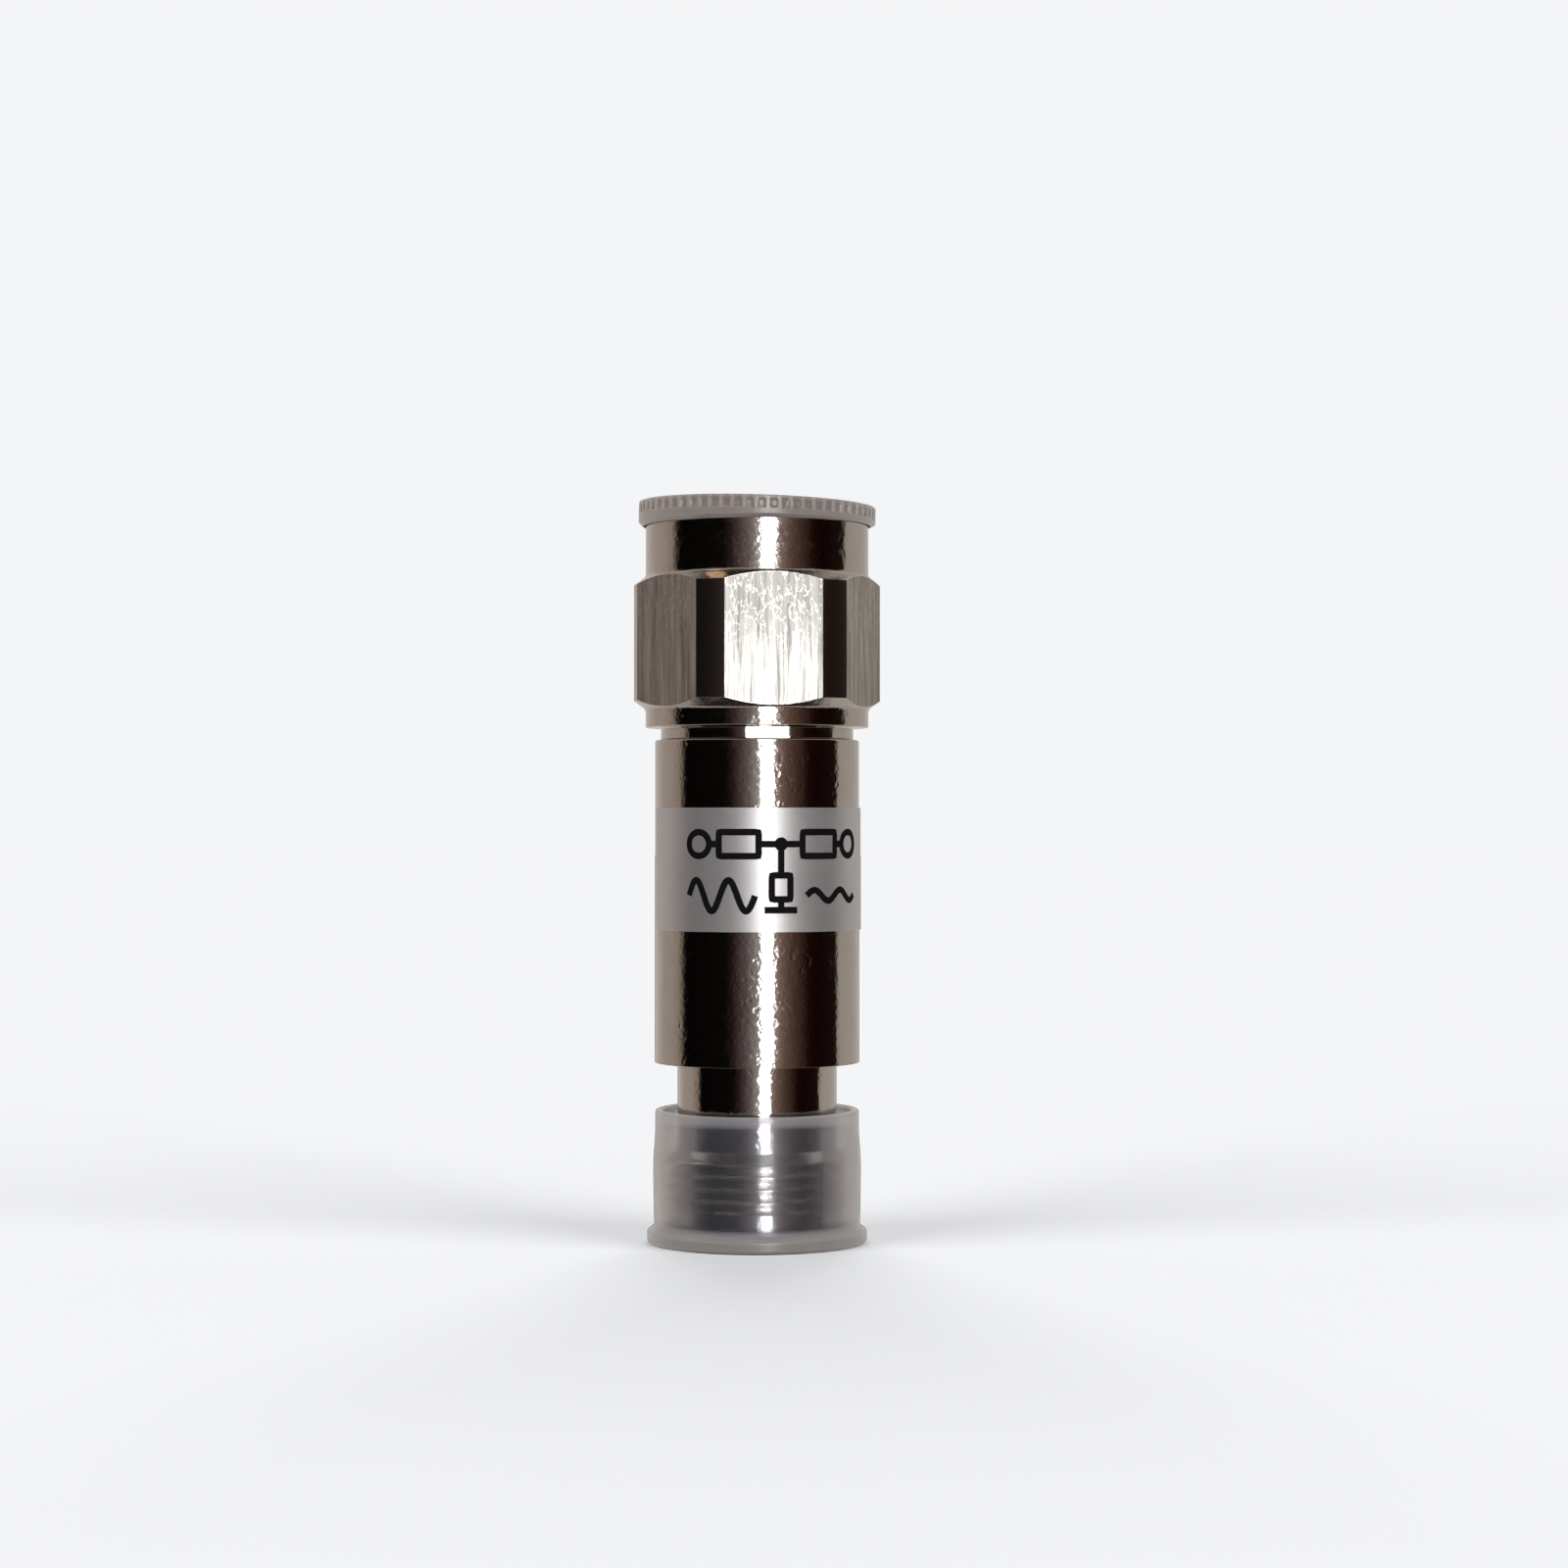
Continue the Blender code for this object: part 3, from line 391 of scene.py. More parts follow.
# Its front flat carries a painted highlight and painted shade
nut_brushed = brushed_flats("nut_brushed", (0.72, 0.69, 0.66), (0.40, 0.37, 0.35))
gold = plated_metal("gold_plating", (0.93, 0.68, 0.30), (0.88, 0.62, 0.25), 0.14, peel=3.0e-6)
brass = plated_metal("bare_brass", (0.80, 0.61, 0.30), (0.70, 0.52, 0.24), 0.26, peel=3.0e-6)
bronze = plated_metal("spring_bronze", (0.66, 0.50, 0.33), (0.56, 0.41, 0.26), 0.28, peel=3.0e-6)
clear_cap = soft_plastic(
    "clear_cap",
    ((0.68, 0.69, 0.76), (0.72, 0.695, 0.68)),
    (0.37, 0.355, 0.345),
    (0.96, 0.68),
    0.19,
    0.6 * MM,
    1.25,
    walls=(CLEAR_WALL_LOW, CLEAR_RIM),
)
frosted_cap = soft_plastic(
    "frosted_cap",
    ((0.30, 0.265, 0.25), (0.30, 0.265, 0.25)),
    (0.30, 0.265, 0.25),
    (0.15, 0.10),
    0.35,
    0.8 * MM,
    1.4,
    # Painted highlight on the rib crests
    pale=(0.375, 0.34, 0.32),
    highlight_share=rib_crest_highlight,
)
bead_white = matte_solid("white_bead", (0.90, 0.90, 0.88), (0.86, 0.86, 0.84), 0.4, Subsurface_Weight=0.3)
silicone = matte_solid("red_silicone", (0.55, 0.07, 0.05), (0.46, 0.05, 0.04), 0.5)
ceramic = matte_solid("chip_ceramic", (0.86, 0.85, 0.82), (0.80, 0.79, 0.76), 0.5)
ink = matte_solid(
    "label_ink",
    (0.004, 0.004, 0.005),
    (0.007, 0.006, 0.007),
    0.6,
    grain_scale=4000.0,
    grain=1.0e-6,
    Specular_IOR_Level=0.06,
)
foil = label_foil()


# Mesh code


def add_object(name, data):
    """A new object in the scene."""
    made = bpy.data.objects.new(name, data)
    bpy.context.scene.collection.objects.link(made)
    return made


def settle(piece):
    """Turn a piece's modifiers into its mesh."""
    bpy.context.view_layer.update()
    evaluated = piece.evaluated_get(bpy.context.evaluated_depsgraph_get())
    mesh = bpy.data.meshes.new_from_object(evaluated)
    name = piece.name
    bpy.data.objects.remove(piece)
    mesh.name = name
    return add_object(name, mesh)


def closed_skin(name, columns, material, closed=True):
    """A skin over columns of points. Each column is a closed half section; the last joins the first."""
    verts = [point for column in columns for point in column]
    rows = len(columns[0])
    count = len(columns)
    faces = []
    for c in range(count if closed else count - 1):
        here = c * rows
        there = ((c + 1) % count) * rows
        for r in range(rows):
            after = (r + 1) % rows
            faces.append((here + r, here + after, there + after, there + r))
    if not closed:
        faces.append(tuple(range(rows)))
        faces.append(tuple(range((count - 1) * rows, count * rows)))
    mesh = bpy.data.meshes.new(name)
    mesh.from_pydata(verts, [], faces)
    clean(mesh)
    mesh.materials.append(material)
    return add_object(name, mesh)


def clean(mesh):
    """Merge poles and seams, point the faces outwards and shade them."""
    shape = bmesh.new()
    shape.from_mesh(mesh)
    bmesh.ops.remove_doubles(shape, verts=shape.verts, dist=1e-8)
    bmesh.ops.recalc_face_normals(shape, faces=shape.faces)
    shape.to_mesh(mesh)
    shape.free()
    mesh.shade_smooth()
    mesh.set_sharp_from_angle(angle=SMOOTH_BELOW)


def rounded(corners, whole=True):
    """A half section with rounded corners.

    A corner is (radius, height, edge). An edge of 0 is a plain point. Each rounded corner gets a
    short support on both sides, so that long straight walls shade truly.
    """
    points = []
    count = len(corners)
    for i, (r, z, edge) in enumerate(corners):
        here = Vector((r, z))
        ends = not whole and i in (0, count - 1)
        if edge == 0 or ends:
            points.append((r, z))
            continue
        before = Vector(corners[i - 1][:2]) - here
        after = Vector(corners[(i + 1) % count][:2]) - here
        back = min(edge, 0.4 * before.length)
        on = min(edge, 0.4 * after.length)
        before.normalize()
        after.normalize()
        first = here + back * before
        last = here + on * after
        points.append(tuple(first + min(SUPPORT, 0.1 * back + 0.02 * MM) * before))
        for step in range(EDGE_STEPS + 1):
            t = step / EDGE_STEPS
            points.append(tuple((1 - t) ** 2 * first + 2 * t * (1 - t) * here + t * t * last))
        points.append(tuple(last + min(SUPPORT, 0.1 * on + 0.02 * MM) * after))
    return points


def lathe(name, corners, material, steps=ROUND_STEPS, whole=True):
    """Spin a half section about the axis."""
    section = rounded(corners, whole)
    columns = []
    for i in range(steps):
        angle = 2 * math.pi * i / steps
        columns.append([(r * math.sin(angle), -r * math.cos(angle), z) for r, z in section])
    return closed_skin(name, columns, material)


def box_at(name, size, center, turn_deg=0.0):
    """A box used as a cutter, turned about the axis."""
    mesh = bpy.data.meshes.new(name)
    shape = bmesh.new()
    bmesh.ops.create_cube(shape, size=1.0)
    bmesh.ops.scale(shape, vec=Vector(size), verts=shape.verts)
    bmesh.ops.translate(shape, vec=Vector(center), verts=shape.verts)
    turn = Matrix.Rotation(math.radians(turn_deg), 3, "Z")
    bmesh.ops.rotate(shape, cent=(0, 0, 0), matrix=turn, verts=shape.verts)
    shape.to_mesh(mesh)
    shape.free()
    return add_object(name, mesh)


def slot_cutters(width, length, tip):
    """Two thin plates across the axis, which cut four slots into a sleeve from its tip."""
    plates = []
    for index, turn in enumerate(SLOT_TURNS_DEG):
        plates.append(box_at("slot_{}".format(index), (20 * MM, width, length), (0, 0, tip), turn))
    return plates


def cut(piece, cutters):
    """Take the cutters out of a piece and delete them."""
    for cutter in cutters:
        step = piece.modifiers.new(cutter.name, "BOOLEAN")
        step.operation = "DIFFERENCE"
        step.solver = "EXACT"
        step.object = cutter
    whole = settle(piece)
    for cutter in cutters:
        bpy.data.objects.remove(cutter)
    clean(whole.data)
    return whole


# Geometry Nodes


def new_tree(name, inputs):
    """A tree with a geometry in and out, and a named input for each size."""
    tree = bpy.data.node_groups.new(name, "GeometryNodeTree")
    tree.interface.new_socket("Geometry", in_out="INPUT", socket_type="NodeSocketGeometry")
    for label, value in inputs.items():
        kind = "NodeSocketMaterial" if isinstance(value, bpy.types.Material) else "NodeSocketFloat"
        socket = tree.interface.new_socket(label, in_out="INPUT", socket_type=kind)
        socket.default_value = value
    tree.interface.new_socket("Geometry", in_out="OUTPUT", socket_type="NodeSocketGeometry")
    given = tree.nodes.new("NodeGroupInput").outputs
    return tree, given


def end_tree(tree, geometry, material):
    """Every tree ends in Realize Instances and Set Material."""
    realize = tree.nodes.new("GeometryNodeRealizeInstances")
    tree.links.new(geometry, realize.inputs[0])
    paint = tree.nodes.new("GeometryNodeSetMaterial")
    tree.links.new(realize.outputs[0], paint.inputs["Geometry"])
    tree.links.new(material, paint.inputs["Material"])
    out = tree.nodes.new("NodeGroupOutput")
    tree.links.new(paint.outputs[0], out.inputs[0])


def grow(piece, tree, values):
    """Run a tree on a piece with these inputs and keep the result as a plain mesh."""
    step = piece.modifiers.new(tree.name, "NODES")
    step.node_group = tree
    for item in tree.interface.items_tree:
        if item.in_out == "INPUT" and item.name in values:
            step[item.identifier] = values[item.name]
    return settle(piece)


def polar(tree):
    """Each point's radius, turn about the axis from 0 to 1, and height, with its x and y."""
    place = tree.nodes.new("GeometryNodeInputPosition")
    split = tree.nodes.new("ShaderNodeSeparateXYZ")
    tree.links.new(place.outputs[0], split.inputs[0])
    x, y, z = split.outputs
    radius = distance_out(tree, x, y)
    turn = calc(tree, "DIVIDE", calc(tree, "ARCTAN2", y, x), 2 * math.pi)
    return radius, turn, z, x, y


def move_radius(tree, geometry, new_radius, radius, x, y, z, chosen):
    """Set each chosen point to a new radius at the same turn and height."""
    share = calc(tree, "DIVIDE", new_radius, calc(tree, "MAXIMUM", radius, 1e-6))
    join = tree.nodes.new("ShaderNodeCombineXYZ")
    wire(tree, join.inputs[0], calc(tree, "MULTIPLY", x, share))
    wire(tree, join.inputs[1], calc(tree, "MULTIPLY", y, share))
    wire(tree, join.inputs[2], z)
    mover = tree.nodes.new("GeometryNodeSetPosition")
    tree.links.new(geometry, mover.inputs["Geometry"])
    tree.links.new(chosen, mover.inputs["Selection"])
    tree.links.new(join.outputs[0], mover.inputs["Position"])
    return mover.outputs[0]


def between(tree, value, low, high):
    over = calc(tree, "GREATER_THAN", value, low)
    under = calc(tree, "LESS_THAN", value, high)
    return calc(tree, "MULTIPLY", over, under)


def thread_tree():
    """Cuts a right-hand V thread into a turned wall.

    Crest Radius is the uncut wall and Root Radius the bottom of the groove: outside the crest is
    the larger, inside it is the smaller. Start is a height of the groove's middle at +X. The
    groove fades out over Fade below Top.
    """
    sizes = {
        "Pitch": THREAD_PITCH,
        "Crest Radius": 0.0,
        "Root Radius": 0.0,
        "Start": 0.0,
        "Bottom": 0.0,
        "Top": 0.0,
        "Fade": THREAD_FADE,
        "Wall Low": 0.0,
        "Wall High": 0.0,
        "Material": nickel,
    }
    tree, given = new_tree("screw_thread", sizes)
    radius, turn, z, x, y = polar(tree)
    risen = calc(tree, "DIVIDE", calc(tree, "SUBTRACT", z, given["Start"]), given["Pitch"])
    phase = calc(tree, "FRACT", calc(tree, "SUBTRACT", risen, turn))
    off_crest = calc(tree, "MULTIPLY", calc(tree, "ABSOLUTE", calc(tree, "SUBTRACT", phase, 0.5)), 2.0)
    flank_share = 1 - CREST_SHARE - ROOT_SHARE
    flank = calc(tree, "DIVIDE", calc(tree, "SUBTRACT", off_crest, CREST_SHARE), flank_share)
    sunk = clamp(tree, flank)
    left = calc(tree, "DIVIDE", calc(tree, "SUBTRACT", given["Top"], z), given["Fade"])
    fade = clamp(tree, left)
    depth = calc(tree, "SUBTRACT", given["Root Radius"], given["Crest Radius"])
    shift = calc(tree, "MULTIPLY", calc(tree, "MULTIPLY", depth, sunk), fade)
    groove = calc(tree, "ADD", given["Crest Radius"], shift)
    outside = calc(tree, "MINIMUM", radius, groove)
    inside = calc(tree, "MAXIMUM", radius, groove)
    is_inside = calc(tree, "GREATER_THAN", given["Root Radius"], given["Crest Radius"])
    swing = calc(tree, "MULTIPLY", calc(tree, "SUBTRACT", inside, outside), is_inside)
    new_radius = calc(tree, "ADD", outside, swing)
    chosen = calc(
        tree,
        "MULTIPLY",
        between(tree, z, given["Bottom"], given["Top"]),
        between(tree, radius, given["Wall Low"], given["Wall High"]),
    )
    moved = move_radius(tree, given["Geometry"], new_radius, radius, x, y, z, chosen)
    end_tree(tree, moved, given["Material"])
    return tree


def rib_tree():
    """Raises narrow upright ribs from the edge of a round flange."""
    sizes = {
        "Count": float(RIB_COUNT),
        "Depth": RIB_DEPTH,
        "Share": 0.25,
        "Bottom": 0.0,
        "Top": 0.0,
        "Wall": 0.0,
        "Material": frosted_cap,
    }
    tree, given = new_tree("flange_ribs", sizes)
    radius, turn, z, x, y = polar(tree)
    phase = calc(tree, "FRACT", calc(tree, "ADD", calc(tree, "MULTIPLY", turn, given["Count"]), 0.5))
    off_rib = calc(tree, "MULTIPLY", calc(tree, "ABSOLUTE", calc(tree, "SUBTRACT", phase, 0.5)), 2.0)
    slope = calc(tree, "DIVIDE", calc(tree, "SUBTRACT", off_rib, given["Share"]), RIB_SLOPE)
    sunk = clamp(tree, slope)
    low_end = calc(tree, "DIVIDE", calc(tree, "SUBTRACT", z, given["Bottom"]), SOFT_EDGE)
    high_end = calc(tree, "DIVIDE", calc(tree, "SUBTRACT", given["Top"], z), SOFT_EDGE)
    ends = calc(tree, "MINIMUM", calc(tree, "MINIMUM", low_end, high_end), 1.0)
    full_shift = calc(tree, "MULTIPLY", sunk, given["Depth"])
    shift = calc(tree, "MULTIPLY", full_shift, calc(tree, "MAXIMUM", ends, 0.0))
    new_radius = calc(tree, "SUBTRACT", radius, shift)
    chosen = calc(tree, "GREATER_THAN", radius, given["Wall"])
    moved = move_radius(tree, given["Geometry"], new_radius, radius, x, y, z, chosen)
    end_tree(tree, moved, given["Material"])
    return tree


def ink_tree():
    """Sweeps flat strokes into ribbons of ink and wraps them round the label."""
    sizes = {
        "Width": INK_WIDTH,
        "Thickness": INK_THICKNESS,
        "Radius": 1.0,
        "Middle": 0.0,
        "Material": ink,
    }
    tree, given = new_tree("wrapped_ink", sizes)
    upright = tree.nodes.new("GeometryNodeSetCurveNormal")
    upright.mode = "Z_UP"
    tree.links.new(given["Geometry"], upright.inputs[0])
    nib = tree.nodes.new("GeometryNodeCurvePrimitiveQuadrilateral")
    tree.links.new(given["Width"], nib.inputs["Width"])
    tree.links.new(given["Thickness"], nib.inputs["Height"])
    sweep = tree.nodes.new("GeometryNodeCurveToMesh")
    tree.links.new(upright.outputs[0], sweep.inputs["Curve"])
    tree.links.new(nib.outputs[0], sweep.inputs["Profile Curve"])
    sweep.inputs["Fill Caps"].default_value = True
    place = tree.nodes.new("GeometryNodeInputPosition")
    split = tree.nodes.new("ShaderNodeSeparateXYZ")
    tree.links.new(place.outputs[0], split.inputs[0])
    along, up, proud = split.outputs
    angle = calc(tree, "DIVIDE", along, given["Radius"])
    radius = calc(tree, "ADD", given["Radius"], proud)
    join = tree.nodes.new("ShaderNodeCombineXYZ")
    wire(tree, join.inputs[0], calc(tree, "MULTIPLY", radius, calc(tree, "SINE", angle)))
    backwards = calc(tree, "MULTIPLY", radius, calc(tree, "COSINE", angle))
    wire(tree, join.inputs[1], calc(tree, "MULTIPLY", backwards, -1.0))
    wire(tree, join.inputs[2], calc(tree, "ADD", up, given["Middle"]))
    mover = tree.nodes.new("GeometryNodeSetPosition")
    tree.links.new(sweep.outputs[0], mover.inputs["Geometry"])
    tree.links.new(join.outputs[0], mover.inputs["Position"])
    end_tree(tree, mover.outputs[0], given["Material"])
    return tree


thread_cutter = thread_tree()


# The pieces


def tube():
    """The long plain tube with its inner lip."""
    low, high = bottom("main_body"), top("main_body")
    outer = reach("main_body")
    inner = outer - 1.0 * MM
    lip_bore = NECK_RADIUS + SLIDE_GAP
    lip = 2.0 * MM
    corners = [
        (outer, high, 0.2 * MM),
        (outer, low, 0.03 * MM),
        (lip_bore, low, LIGHT_EDGE),
        (lip_bore, low + lip, LIGHT_EDGE),
        (inner, low + lip, LIGHT_EDGE),
        (inner, high, LIGHT_EDGE),
    ]
    piece = lathe("tube", corners, nickel)
    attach(piece, "attenuator")
    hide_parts("main_body")


def jack():
    """The jack's one-piece shell, with its real thread."""
    face = bottom("jack_shell")
    rear = top("jack_shell")
    crest = reach("jack_shell")
    root = crest - THREAD_DEPTH
    neck = NECK_RADIUS
    spigot = reach("main_body") - SPIGOT_STEP
    thread_low = face + LEAD_LENGTH
    thread_high = thread_low + THREAD_LENGTH
    neck_z = thread_high + CONE_HEIGHT
    flange_z = rear - 3.0 * MM
    lead = root - 0.05 * MM
    mouth = 4.05 * MM
    reference_z = face + 9.1 * MM
    bead_z = face + 11.7 * MM
    bead_end = top("jack_insulator")
    corners = [
        (spigot, rear, SOFT_EDGE),
        (spigot, flange_z, LIGHT_EDGE),
        (neck, flange_z, LIGHT_EDGE),
        (neck, neck_z, LIGHT_EDGE),
    ]
    rows = 90
    first_z = neck_z - SUPPORT * 3
    slope = (crest - neck) / (neck_z - thread_high)
    for i in range(rows + 1):
        z = first_z - (first_z - thread_low - SUPPORT) * i / rows
        cone = neck + (neck_z - z) * slope
        start = lead + (z - thread_low) * LEAD_SLOPE
        corners.append((min(cone, crest, start), z, 0))
    corners += [
        (lead, thread_low, 0),
        (lead, face, 0.3 * MM),
        (mouth, face, 0.3 * MM),
        (mouth, reference_z, LIGHT_EDGE),
        (LINE_BORE, reference_z, LIGHT_EDGE),
        (LINE_BORE, bead_z, LIGHT_EDGE),
        (BEAD_SEAT, bead_z, LIGHT_EDGE),
        (BEAD_SEAT, bead_end, LIGHT_EDGE),
        (RETAINER_SEAT, bead_end, LIGHT_EDGE),
        (RETAINER_SEAT, rear, LIGHT_EDGE),
    ]
    piece = lathe("jack", corners, nickel, JACK_STEPS)
    values = {
        "Crest Radius": crest,
        "Root Radius": root,
        "Start": thread_low - THREAD_START,
        "Bottom": thread_low,
        "Top": neck_z,
        "Wall Low": lead,
        "Wall High": crest + SUPPORT,
        "Material": nickel,
    }
    piece = grow(piece, thread_cutter, values)
    clean(piece.data)
    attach(piece, "attenuator")
    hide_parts("jack_shell")


def plug():
    """The plug's one-piece shell: collar with two flats, journal with its ring groove, slotted sleeve."""
    rear = bottom("plug_shell")
    tip = top("plug_shell")
    collar_z = top("main_body") + COLLAR_GAP
    collar_top = bottom("coupling_nut") - SEAT_GAP
    journal_top = bottom("plug_gasket") - SEAT_GAP
    ring_low = bottom("nut_retaining_ring") - SEAT_GAP
    ring_high = top("nut_retaining_ring") + SEAT_GAP
    bead_low = bottom("plug_insulator")
    bead_high = top("plug_insulator") + SEAT_GAP
    spigot = reach("main_body") - SPIGOT_STEP
    sleeve = 4.0 * MM
    journal = 6.4947 * MM
    groove = 5.59 * MM
    corners = [
        (sleeve, tip, SOFT_EDGE),
        (sleeve, journal_top, SOFT_EDGE),
        (journal, journal_top, LIGHT_EDGE),
        (journal, ring_high, LIGHT_EDGE),
        (groove, ring_high, LIGHT_EDGE),
        (groove, ring_low, LIGHT_EDGE),
        (journal, ring_low, LIGHT_EDGE),
        (journal, collar_top, LIGHT_EDGE),
        (COLLAR_RADIUS, collar_top, LIGHT_EDGE),
        (COLLAR_RADIUS, collar_z, LIGHT_EDGE),
        (spigot, collar_z, LIGHT_EDGE),
        (spigot, rear, SOFT_EDGE),
        (RETAINER_SEAT, rear, LIGHT_EDGE),
        (RETAINER_SEAT, bead_low, LIGHT_EDGE),
        (BEAD_SEAT, bead_low, LIGHT_EDGE),
        (BEAD_SEAT, bead_high, LIGHT_EDGE),
        (LINE_BORE, bead_high, LIGHT_EDGE),
        (LINE_BORE, tip, SOFT_EDGE),
    ]
    piece = lathe("plug", corners, nickel)
    flat_reach = COLLAR_RADIUS - COLLAR_FLAT_DEPTH + 10 * MM
    middle = 0.5 * (collar_z + collar_top)
    height = collar_top - collar_z + 0.04 * MM
    block = (40 * MM, 20 * MM, height)
    cutters = [
        box_at("flat_front", block, (0, -flat_reach, middle), COLLAR_TURN_DEG),
        box_at("flat_back", block, (0, flat_reach, middle), COLLAR_TURN_DEG),
    ]
    cutters += slot_cutters(0.5 * MM, 10 * MM, tip)
    piece = cut(piece, cutters)
    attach(piece, "attenuator")
    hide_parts("plug_shell")


def nut():
    """The hexagon nut with turned corners: one column of points for each direction round it."""
    low, high = bottom("coupling_nut"), top("coupling_nut")
    nose_z = high - NUT_NOSE
    tail_z = low + NUT_TAIL
    rise = NUT_CHAMFER / (NUT_CORNER - NUT_ROUND)
    journal_bore = 6.5947 * MM
    ring_bore = 7.3947 * MM
    ring_low = bottom("nut_retaining_ring") - 2 * SEAT_GAP
    ring_high = top("nut_retaining_ring") + 2 * SEAT_GAP
    relief_z = bottom("plug_gasket") - 2 * SEAT_GAP
    thread_low = relief_z + 2.77 * MM
    thread_high = high - 0.7 * MM
    half = math.acos(NUT_FLAT / NUT_CORNER)
    gap = math.radians(60) - 2 * half
    turns = []
    for side in range(6):
        normal = math.radians(60 * side + NUT_TURN_DEG)
        turns += [(normal, -half + 2 * half * i / FLAT_COLUMNS, True) for i in range(FLAT_COLUMNS)]
        turns += [(normal, half + gap * i / CORNER_COLUMNS, i == 0) for i in range(CORNER_COLUMNS)]
    columns = []
    for normal, phi, on_flat in turns:
        wide = NUT_FLAT / math.cos(phi) if on_flat else NUT_CORNER
        drop = rise * (wide - NUT_ROUND)
        corners = [
            (NUT_ROUND, high, SOFT_EDGE),
            (NUT_ROUND, nose_z, 0.3 * MM),
            (wide, nose_z - drop, 0.03 * MM),
            (wide, tail_z + drop, 0.03 * MM),
            (NUT_ROUND, tail_z, 0.3 * MM),
            (NUT_ROUND, low, SOFT_EDGE),
            (journal_bore, low, SOFT_EDGE),
            (journal_bore, ring_low, LIGHT_EDGE),
            (ring_bore, ring_low, LIGHT_EDGE),
            (ring_bore, ring_high, LIGHT_EDGE),
            (journal_bore, ring_high, LIGHT_EDGE),
            (journal_bore, relief_z, LIGHT_EDGE),
            (NUT_RELIEF, relief_z, LIGHT_EDGE),
            (NUT_RELIEF, thread_low - (NUT_RELIEF - NUT_MINOR), LIGHT_EDGE),
        ]
        rows = 110
        for i in range(rows + 1):
            z = thread_low + (high - SOFT_EDGE - thread_low) * i / rows
            mouth = NUT_MINOR + max(0.0, z - thread_high)
            corners.append((mouth, z, 0))
        corners.append((NUT_RELIEF, high, LIGHT_EDGE))
        angle = normal + phi
        columns.append([(r * math.sin(angle), -r * math.cos(angle), z) for r, z in rounded(corners)])
    piece = closed_skin("nut", columns, nut_nickel)
    values = {
        "Crest Radius": NUT_MINOR,
        "Root Radius": NUT_MINOR + NUT_THREAD_DEPTH,
        "Start": thread_low,
        "Bottom": thread_low,
        "Top": high,
        "Wall Low": NUT_MINOR - SUPPORT,
        "Wall High": NUT_RELIEF - SUPPORT,
        "Material": nut_nickel,
    }
    piece = grow(piece, thread_cutter, values)
    mesh = piece.data
    clean(mesh)
    mesh.materials.append(nut_brushed)
    mesh.materials.append(nut_corner_painted_shade)
    brushed = math.cos(math.radians(2))
    for face in mesh.polygons:
        direction = Vector((face.center.x, face.center.y, 0))
        # The turned corners get the nickel with painted shade
        if direction.length > NUT_CORNER - 0.5 * SUPPORT:
            face.material_index = 2
        for side in range(6):
            angle = math.radians(60 * side + NUT_TURN_DEG)
            flat_way = Vector((math.sin(angle), -math.cos(angle), 0))
            if face.normal.dot(flat_way) > brushed and abs(direction.dot(flat_way) - NUT_FLAT) < SUPPORT:
                if nose_z > face.center.z > tail_z and direction.length < NUT_CORNER:
                    face.material_index = 1
    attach(piece, "nut")
    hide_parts("coupling_nut")


def lower_cap():
    """The clear cup over the jack."""
    high = top("jack_dust_cap")
    flange = reach("jack_dust_cap")
    base = 1.0 * MM
    inner = 8.0375 * MM
    mouth = 8.7075 * MM
    belly = 8.8775 * MM
    waist = 8.7925 * MM
    flange_edge = 0.12 * MM
    corners = [
        (0, base, 0),
        (inner, base, 0.3 * MM),
        (inner, high, 0.25 * MM),
        (mouth, high, 0.3 * MM),
        (mouth, 9.14 * MM, 1.0 * MM),
        (belly, 7.25 * MM, 1.0 * MM),
        (belly, 5.125 * MM, 1.2 * MM),
        (waist, 1.45 * MM, 0.2 * MM),
        (flange, 1.0 * MM, flange_edge),
        (flange, 0.25 * MM, flange_edge),
        (flange - 0.25 * MM, 0, flange_edge),
        (0, 0, 0),
    ]
    piece = lathe("lower_cap", corners, clear_cap, whole=False)
    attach(piece, "lower_cap")
    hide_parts("jack_dust_cap")


